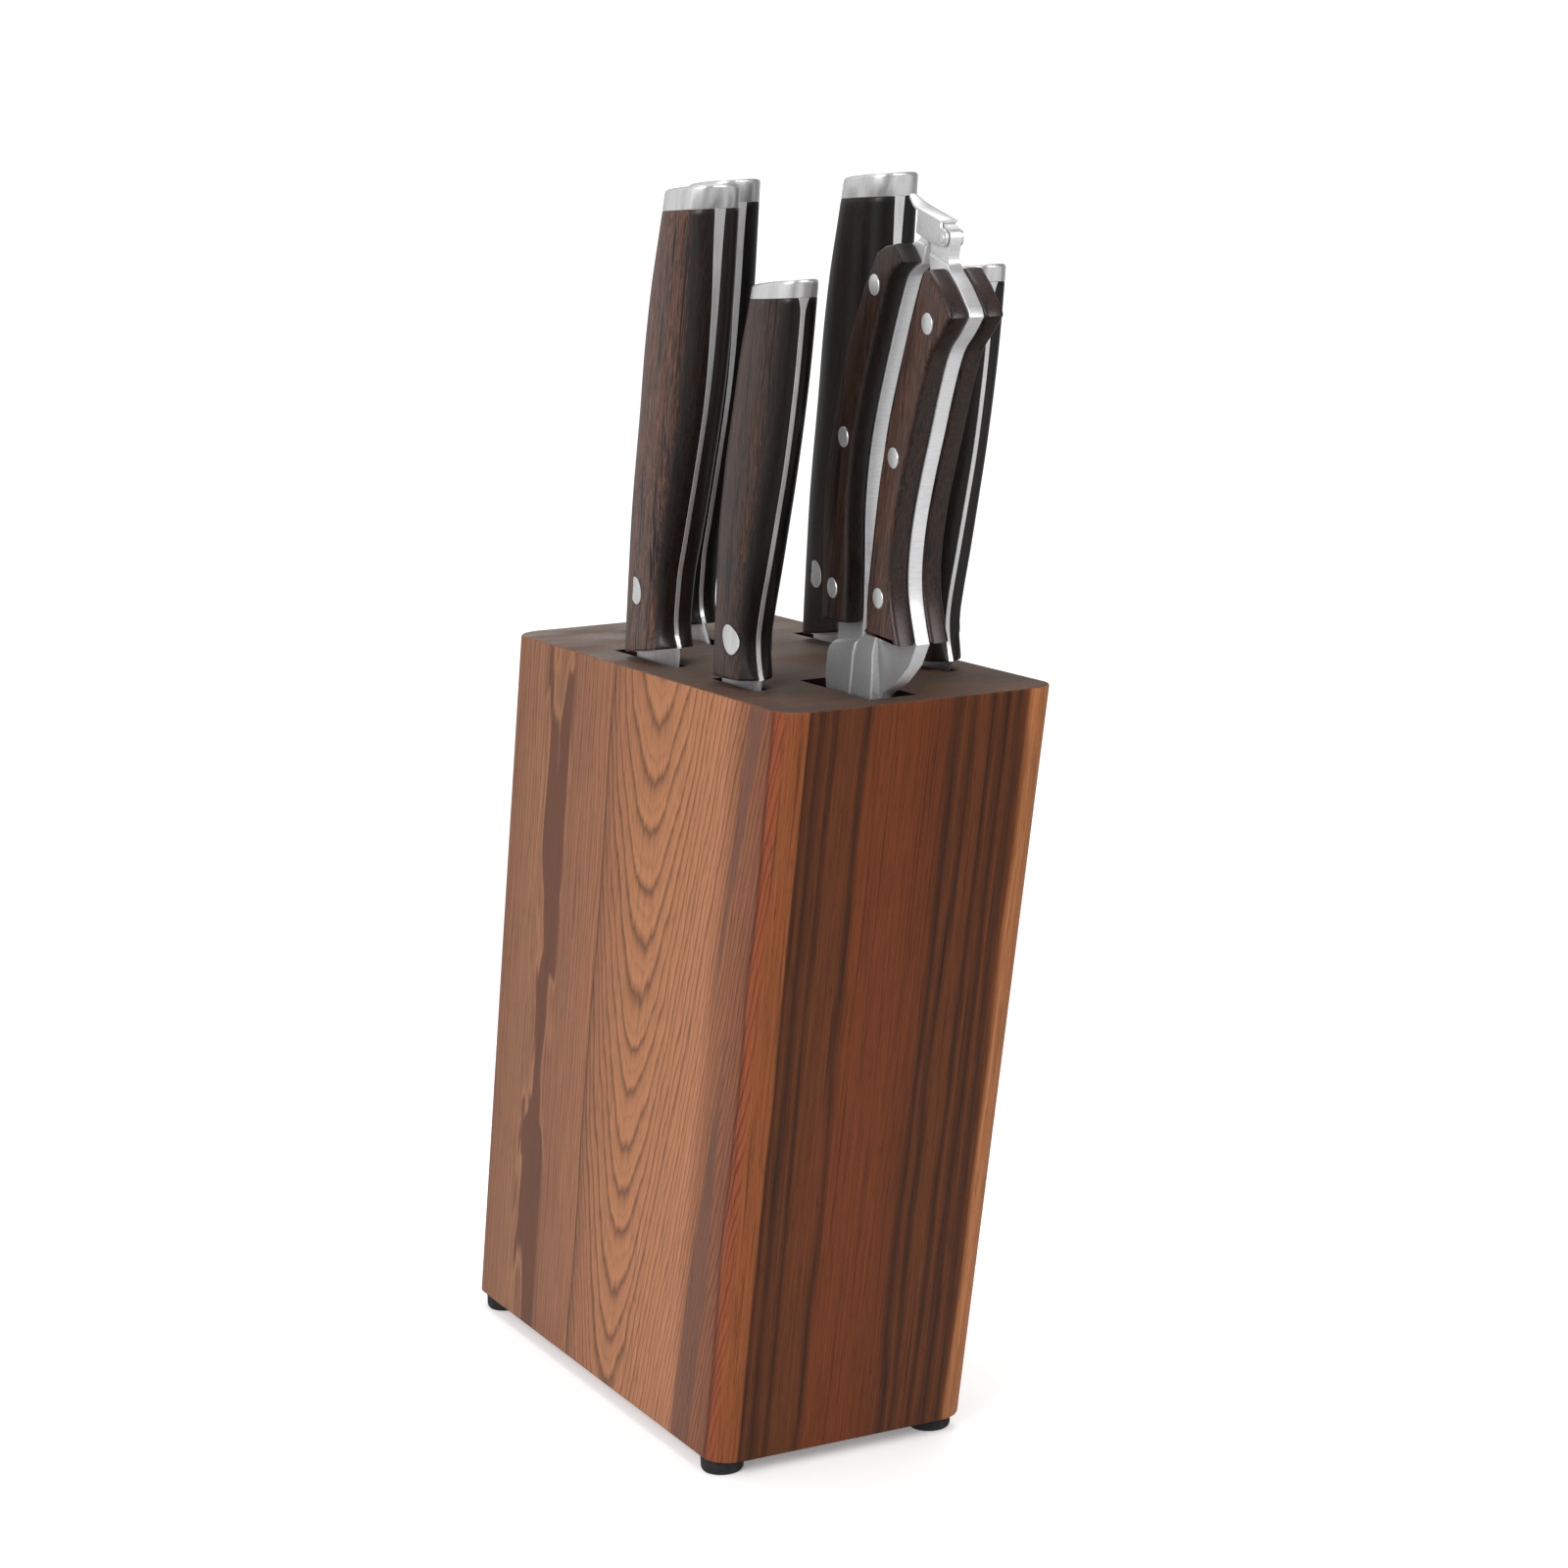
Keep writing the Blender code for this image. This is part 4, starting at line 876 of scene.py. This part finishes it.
# ---- shears ----------------------------------------------------------------------------------------
def box_ring(x_from, x_to, across_from, across_to, along, fall=(0.0, 0.0), chamfer=0.4):
    """A rectangular ring, its left front corner cut; it falls by so much per mm of X and of across."""
    corners = [(x_from, across_from + chamfer), (x_from + chamfer, across_from), (x_to, across_from),
               (x_to, across_to), (x_from, across_to)]
    return [(x, across, along - fall[0] * (x - x_from) - fall[1] * (across - across_from))
            for x, across in corners]


def thin_neck(bm, start):
    """The top of a plate thinned from start up, so that it fits between the latch's cheeks."""
    for along in (start, start + 0.4):
        bmesh.ops.bisect_plane(bm, geom=bm.verts[:] + bm.edges[:] + bm.faces[:],
                               plane_co=(0.0, 0.0, along * MM), plane_no=(0.0, 0.0, 1.0))
    reach = LATCH_NECK / 2 * MM
    for vert in bm.verts:
        if vert.co.z > (start + 0.2) * MM:
            vert.co.x = max(-reach, min(reach, vert.co.x))


def shears_half(body, outline, neck_start, shoulder, blade, layer, where, metal):
    """Handle plate, shoulder and blade of one half; the two blades lie in layers side by side."""
    bm = outlined(outline, SHEARS_TANG / 2, 0.0, 0.35)
    thin_neck(bm, neck_start)
    joined(bm, loft(shoulder))
    joined(bm, outlined(blade, SHEARS_BLADE / 2, layer, 0.2))
    piece(f"{body}_half_steel", bm, where, metal, body, "polished_steel", f"{body}_half", sharp=30)


def rivet_disc(reach, radius, across, along):
    """A pin along X, reaching as far to either side, with rounded rims."""
    rim = 0.25
    profile = [(0.05, 0.0), (radius - rim, 0.0)]
    profile += [(radius - rim + rim * math.sin(t * math.pi / 8), rim - rim * math.cos(t * math.pi / 8))
                for t in range(1, 5)]
    profile += [(r, 2 * reach - h) for r, h in reversed(profile)]
    bm = lathe(profile, 40)
    turn = Matrix.Translation(Vector((-reach, across, along)) * MM) @ Matrix.Rotation(math.pi / 2, 4, "Y")
    bmesh.ops.transform(bm, matrix=turn, verts=bm.verts)
    return bm


def make_shears(satin, metal, dark_steel):
    pivot = Vector(JOINTS["shears_squeeze"]["pos_m"])
    origin = pivot - TILT @ Vector((0.0, *SHEARS_PIVOT)) * MM
    where = Matrix.Translation(origin) @ TILT
    layer = SHEARS_BLADE / 2 + 0.15
    back_outline = (run_through(((-4.2, 0.0),) + BACK_FRONT_EDGE + ((-10.6, 115.8), (-15.0, 118.8)))
                    + [(-15.7, 123.0), (-15.4, 126.4), (-11.8, 126.4), (-11.8, 124.7), (-10.2, 123.2),
                       (-4.6, 120.0), (-0.8, 117.4)]
                    + run_through(tuple(reversed(BACK_BACK_EDGE)) + ((9.6, 8), (9.8, 0.0))))
    back_shoulder = [box_ring(*ring) for ring in (
        (-3.2, 4.4, -4.2, 9.0, -8.0), (-4.3, 4.4, -4.2, 9.6, 0.0), (-4.4, 4.3, -4.2, 9.6, 12.0, (0.0, 0.4)),
        (-4.0, 4.0, -4.2, 9.6, 14.4, (0.0, 0.44)), (-3.2, 3.3, -4.1, 9.4, 15.4, (0.0, 0.44)),
        (-2.1, 2.1, -4.0, 9.2, 15.9, (0.0, 0.44), 0.2))]
    back_blade = ((-4.2, 2.0), (9.6, 2.0), (9.0, -10), (7.0, -24), (3.0, -36), (1.0, -60), (1.0, -90),
                  (-1.0, -118), (-5.0, -112), (-10.0, -90), (-13.2, -60), (-14.6, -34), (-14.2, -24),
                  (-11.0, -15), (-4.2, -8.8))
    shears_half("shears_back", back_outline, BACK_NECK_START, back_shoulder, back_blade, layer, where, satin)
    front_outline = (run_through(((-5.4, 0.0), (-6.0, 12.0), (-9.4, 20.0)) + FRONT_BACK_EDGE
                                 + ((-20.8, 113.5), (-18.6, 118.7), (-17.2, 124.0), (-17.0, 130.7)))
                     + run_through(((-23.6, 130.9), (-25.7, 130.0), (-26.6, 127.9), (-26.3, 124.0),
                                    (-27.8, 121.4), (-33.4, 118.6), (-39.4, 114.6)))
                     + run_through(tuple(reversed(FRONT_FRONT_EDGE)))
                     + [(-29.6, 18.0), (-24.0, 11.0), (-17.6, 5.6), (-13.0, 0.0)])
    front_shoulder = [box_ring(*ring) for ring in (
        (-4.4, 1.9, -15.0, -5.4, -8.0), (-4.6, 1.9, -16.6, -5.4, 0.4),
        (-4.6, 1.9, -15.6, -5.4, 11.0, (1.3, 0.0)), (-3.9, 1.9, -13.6, -5.6, 15.5, (1.2, 0.0)),
        (-2.1, 1.9, -11.5, -8.0, 20.0, (0.3, 0.0), 0.2))]
    front_blade = ((-5.4, 2.0), (-17.0, 2.0), (-16.6, -12), (-15.0, -24), (-11.0, -36), (-8.0, -60),
                   (-6.0, -90), (-2.0, -118), (2.0, -112), (5.0, -90), (6.6, -60), (7.2, -34), (6.4, -24),
                   (3.0, -15), (-5.4, -9.0))
    shears_half("shears_front", front_outline, FRONT_NECK_START, front_shoulder, front_blade, -layer, where,
                satin)
    back_top = ((-10.8, 116.2), (-15.4, 119.6), (-10.0, 122.8), (-4.4, 120.6), (-0.8, 118.0))
    front_top = ((-39.6, 114.6), (-33.4, 118.7), (-27.8, 121.4), (-25.4, 120.4), (-23.6, 114.5))
    back_sides = (BACK_FRONT_EDGE, back_top, BACK_BACK_EDGE, (8.9, 16.0))
    front_sides = (FRONT_FRONT_EDGE, front_top, FRONT_BACK_EDGE, (-15.8, 21.6))
    shears_grips("shears_back", back_sides, 3.1, 0.55, where)
    shears_rivets("shears_back", BACK_RIVETS, metal, where)
    shears_grips("shears_front", front_sides, 8.7, 0.85, where)
    shears_rivets("shears_front", FRONT_RIVETS, metal, where)
    for node in ("shears_pivot_screw", "shears_spring"):
        repaint(node, dark_steel)


def shears_grips(body, sides, seed, tone, where):
    """The two wooden scales of one half, outlined up one edge, over the top and down the other."""
    edge, top, far_edge, foot = sides
    tones = toned(tone, (38, 26, 21), (96, 67, 54), (122, 78, 55))
    # 0.6 is the painted shade on the scales' faces turned to the belly or up
    wood = handle_wood(f"{body}_wood", seed, *tones, 0.15, 0.6)
    outline = run_through(edge) + list(top) + run_through(tuple(reversed(far_edge)) + (foot,))
    for side, side_name in SIDES:
        middle = side * (SHEARS_TANG / 2 + TIGHT + SHEARS_SCALE / 2)
        grip = outlined(outline, SHEARS_SCALE / 2, middle, 1.3)
        piece(f"{body}_{side_name}_grip", grip, where, wood, body, "shears_wood",
              f"{body}_{side_name}_scale", sharp=40)


def shears_rivets(body, spots, metal, where):
    reach = SHEARS_TANG / 2 + SHEARS_SCALE + 0.3
    for place, spot in spots.items():
        piece(f"{body}_rivet_{place}_steel", rivet_disc(reach, SHEARS_RIVET, *spot), where, metal, body,
              "polished_steel", f"{body}_rivet_{place}")


def make_latch(satin, metal):
    """The folded sheet on its pin: two cheeks, the web over them, the end wall and the thumb tongue."""
    where = Matrix.Translation(Vector(JOINTS["latch_hinge"]["pos_m"])) @ TILT
    cheek = [(2.2 * math.cos(a), 2.2 * math.sin(a)) for a in [math.radians(d) for d in range(100, 281, 12)]]
    cheek += [(3.8, -2.7), (7.7, -2.6), (12.6, -2.4), (13.2, 1.0), (13.3, 3.2), (1.6, 3.2), (1.2, 2.2)]
    bm = bmesh.new()
    for side in (-1, 1):
        joined(bm, outlined(cheek, LATCH_SHEET / 2, side * (LATCH_HALF - LATCH_SHEET / 2), 0.12))
    reach = LATCH_HALF - 0.02
    web = []
    for back, top, width in ((1.8, 3.8, 1.0), (2.0, 3.9, 1.0), (12.6, 3.9, 1.0), (14.8, 3.95, 0.97),
                             (16.2, 4.12, 0.88), (17.6, 4.4, 0.76), (19.2, 4.83, 0.6), (20.4, 5.2, 0.48),
                             (20.7, 5.3, 0.36)):
        half = reach * width
        under = top - LATCH_SHEET
        corner = min(0.45, half / 2)
        web.append([(-half, back, under), (half, back, under), (half, back, top - corner),
                    (half - corner * 0.3, back, top - corner * 0.3), (half - corner, back, top),
                    (-half + corner, back, top), (-half + corner * 0.3, back, top - corner * 0.3),
                    (-half, back, top - corner)])
    joined(bm, loft(web))
    wall = [[(-reach, back, along), (reach, back, along), (reach, back + 0.9, along),
             (-reach, back + 0.9, along)] for back, along in ((12.15, -2.3), (12.35, 3.4))]
    joined(bm, loft(wall))
    piece("shears_latch_steel", bm, where, satin, "shears_latch", "polished_steel", "shears_latch", sharp=30)
    pin = rivet_disc(LATCH_HALF + 0.18, LATCH_PIN_RADIUS, 0.0, 0.0)
    piece("latch_pin_steel", pin, where, metal, "shears_front", "polished_steel", "latch_pin")


# ---- stage -----------------------------------------------------------------------------------------
# Each glow: its direction, the cosines between which it fades in, and its strength.
STUDIO_GLOWS = (((-1.0, 0.1, 0.15), 0.0, 0.85, 0.5), ((0.0, 0.0, 1.0), 0.1, 0.95, 0.35),
                ((0.35, 1.0, 0.1), 0.1, 0.9, 0.4), ((0.5, -0.7, -0.5), 0.55, 0.9, 0.65),
                ((-1.0, -0.05, 0.0), 0.9, 0.985, 0.4))


def make_floor():
    n = Looks("pale_floor")
    parts = n.millimetres()
    mottle = n.grain(parts, (0.004, 0.004, 0.004), 2.0)
    n.set(Base_Color=n.ramp(mottle, (0.3, 0.95), (0.7, 0.97)), Roughness=0.9, Specular_IOR_Level=0.0,
          Emission_Color=(1.0, 1.0, 1.0, 1.0), Emission_Strength=0.24)
    away = n.math("SQRT", n.plus(n.times(parts[0], parts[0]), n.times(parts[1], parts[1])))
    blend = n.add("MixShader")
    n.put(blend.inputs[0], n.ease(away, 250.0, 620.0))
    n.put(blend.inputs[1], n.shader.outputs[0])
    n.put(blend.inputs[2], n.add("BsdfTransparent").outputs[0])
    n.put(n.tree.nodes["Material Output"].inputs["Surface"], blend.outputs[0])
    bm = bmesh.new()
    bmesh.ops.create_grid(bm, x_segments=1, y_segments=1, size=0.7)
    mesh = bpy.data.meshes.new("floor")
    bm.to_mesh(mesh)
    bm.free()
    mesh.materials.append(n.material)
    floor = bpy.data.objects.new("floor", mesh)
    floor.visible_glossy = False
    bpy.context.scene.collection.objects.link(floor)


def make_world():
    """Studio surroundings: bright on the left and above, dimmer in front, white behind the object."""
    world = bpy.data.worlds.new("studio")
    bpy.context.scene.world = world
    world.use_nodes = True
    n = Nodes(world.node_tree)
    light = 0.04
    for direction, low, high, strength in STUDIO_GLOWS:
        turned = n.add("VectorMath", operation="DOT_PRODUCT")
        n.put(turned.inputs[0], n.coordinates.outputs["Generated"])
        n.put(turned.inputs[1], Vector(direction).normalized())
        light = n.line(n.ease(turned.outputs["Value"], low, high), strength, light)
    backdrop = n.times(n.add("LightPath").outputs["Is Camera Ray"], 1.2)
    shader = n.tree.nodes["Background"]
    n.put(shader.inputs["Strength"], n.math("MAXIMUM", light, backdrop))
    n.put(shader.inputs["Color"], (1.0, 1.0, 1.0, 1.0))


def area_light(name, place, aim, size, power):
    light = bpy.data.lights.new(name, "AREA")
    light.shape = "RECTANGLE"
    light.size, light.size_y = size
    light.energy = power
    obj = bpy.data.objects.new(name, light)
    obj.location = place
    obj.rotation_euler = (Vector(aim) - Vector(place)).to_track_quat("-Z", "Y").to_euler()
    bpy.context.scene.collection.objects.link(obj)


def make_lights():
    aim = (0.0, 0.0, 0.2)
    area_light("key", (-1.15, -0.75, 0.75), aim, (0.6, 0.9), 15.0)
    area_light("front", (0.45, -1.2, 0.9), aim, (0.5, 0.5), 8.0)
    area_light("top", (0.1, 0.3, 1.4), aim, (1.0, 1.0), 9.0)


def make_camera():
    """Stands where the photograph was taken from: to the left of the narrow front, slightly above."""
    yaw, pitch, roll = (math.radians(angle) for angle in (26.01, 10.5, 1.69))
    up = Vector((0.0, 0.0, 1.0))
    level = Vector((math.sin(yaw), math.cos(yaw), 0.0))
    right = Vector((math.cos(yaw), -math.sin(yaw), 0.0))
    forward = math.cos(pitch) * level - math.sin(pitch) * up
    down = -(math.cos(pitch) * up + math.sin(pitch) * level)
    rolled_right = math.cos(roll) * right + math.sin(roll) * down
    rolled_down = -math.sin(roll) * right + math.cos(roll) * down
    data = bpy.data.cameras.new("camera")
    data.lens = 80.8
    data.sensor_width = 36.0
    camera = bpy.data.objects.new("camera", data)
    turn = Matrix((rolled_right, -rolled_down, -forward)).transposed().to_4x4()
    camera.matrix_world = Matrix.Translation(BASE + Vector((-0.423, -0.9326, 0.3633))) @ turn
    bpy.context.scene.collection.objects.link(camera)
    bpy.context.scene.camera = camera


# ---- build -----------------------------------------------------------------------------------------
make_camera()
make_world()
make_lights()
make_floor()
# The last two numbers of each steel are its painted shade on faces turned to the sides and on faces turned up.
POLISHED = steel("polished_steel_marks", (0.8, 0.8, 0.81, 1.0), 0.26, 0.08, (0.9, 0.9, 0.12), 0.0,
                 0.8, 0.95, 0.5)
SATIN = steel("satin_steel_marks", (0.8, 0.8, 0.81, 1.0), 0.32, 0.16, (0.3, 1.2, 3.0), 0.006,
              0.6, 0.42, 0.6)
# The latch's steel: like the satin steel but with less painted shade on its sides, so that it looks lighter.
LATCH_STEEL = steel("latch_steel_marks", (0.82, 0.82, 0.83, 1.0), 0.3, 0.16, (0.3, 1.0, 1.0), 0.006,
                    0.6, 0.7, 0.62)
DARK_STEEL = steel("plain_steel_marks", (0.5, 0.5, 0.52, 1.0), 0.32, 0.15, (2.0, 2.0, 2.0), 0.01,
                   1.0, 1.0, 1.0)
GROOVE = handle_wood("rivet_groove", 1.0, linear(10, 8, 8), linear(16, 12, 11), linear(20, 14, 12), 0.0)
make_block()
for foot_name in FEET:
    repaint(f"{foot_name}_foot_screw", DARK_STEEL)
for index, (knife_name, knife_values) in enumerate(KNIVES.items()):
    make_knife(knife_name, knife_values, POLISHED, GROOVE, 2.7 * index)
make_shears(SATIN, POLISHED, DARK_STEEL)
make_latch(LATCH_STEEL, POLISHED)

bpy.context.scene.view_settings.view_transform = "Standard"
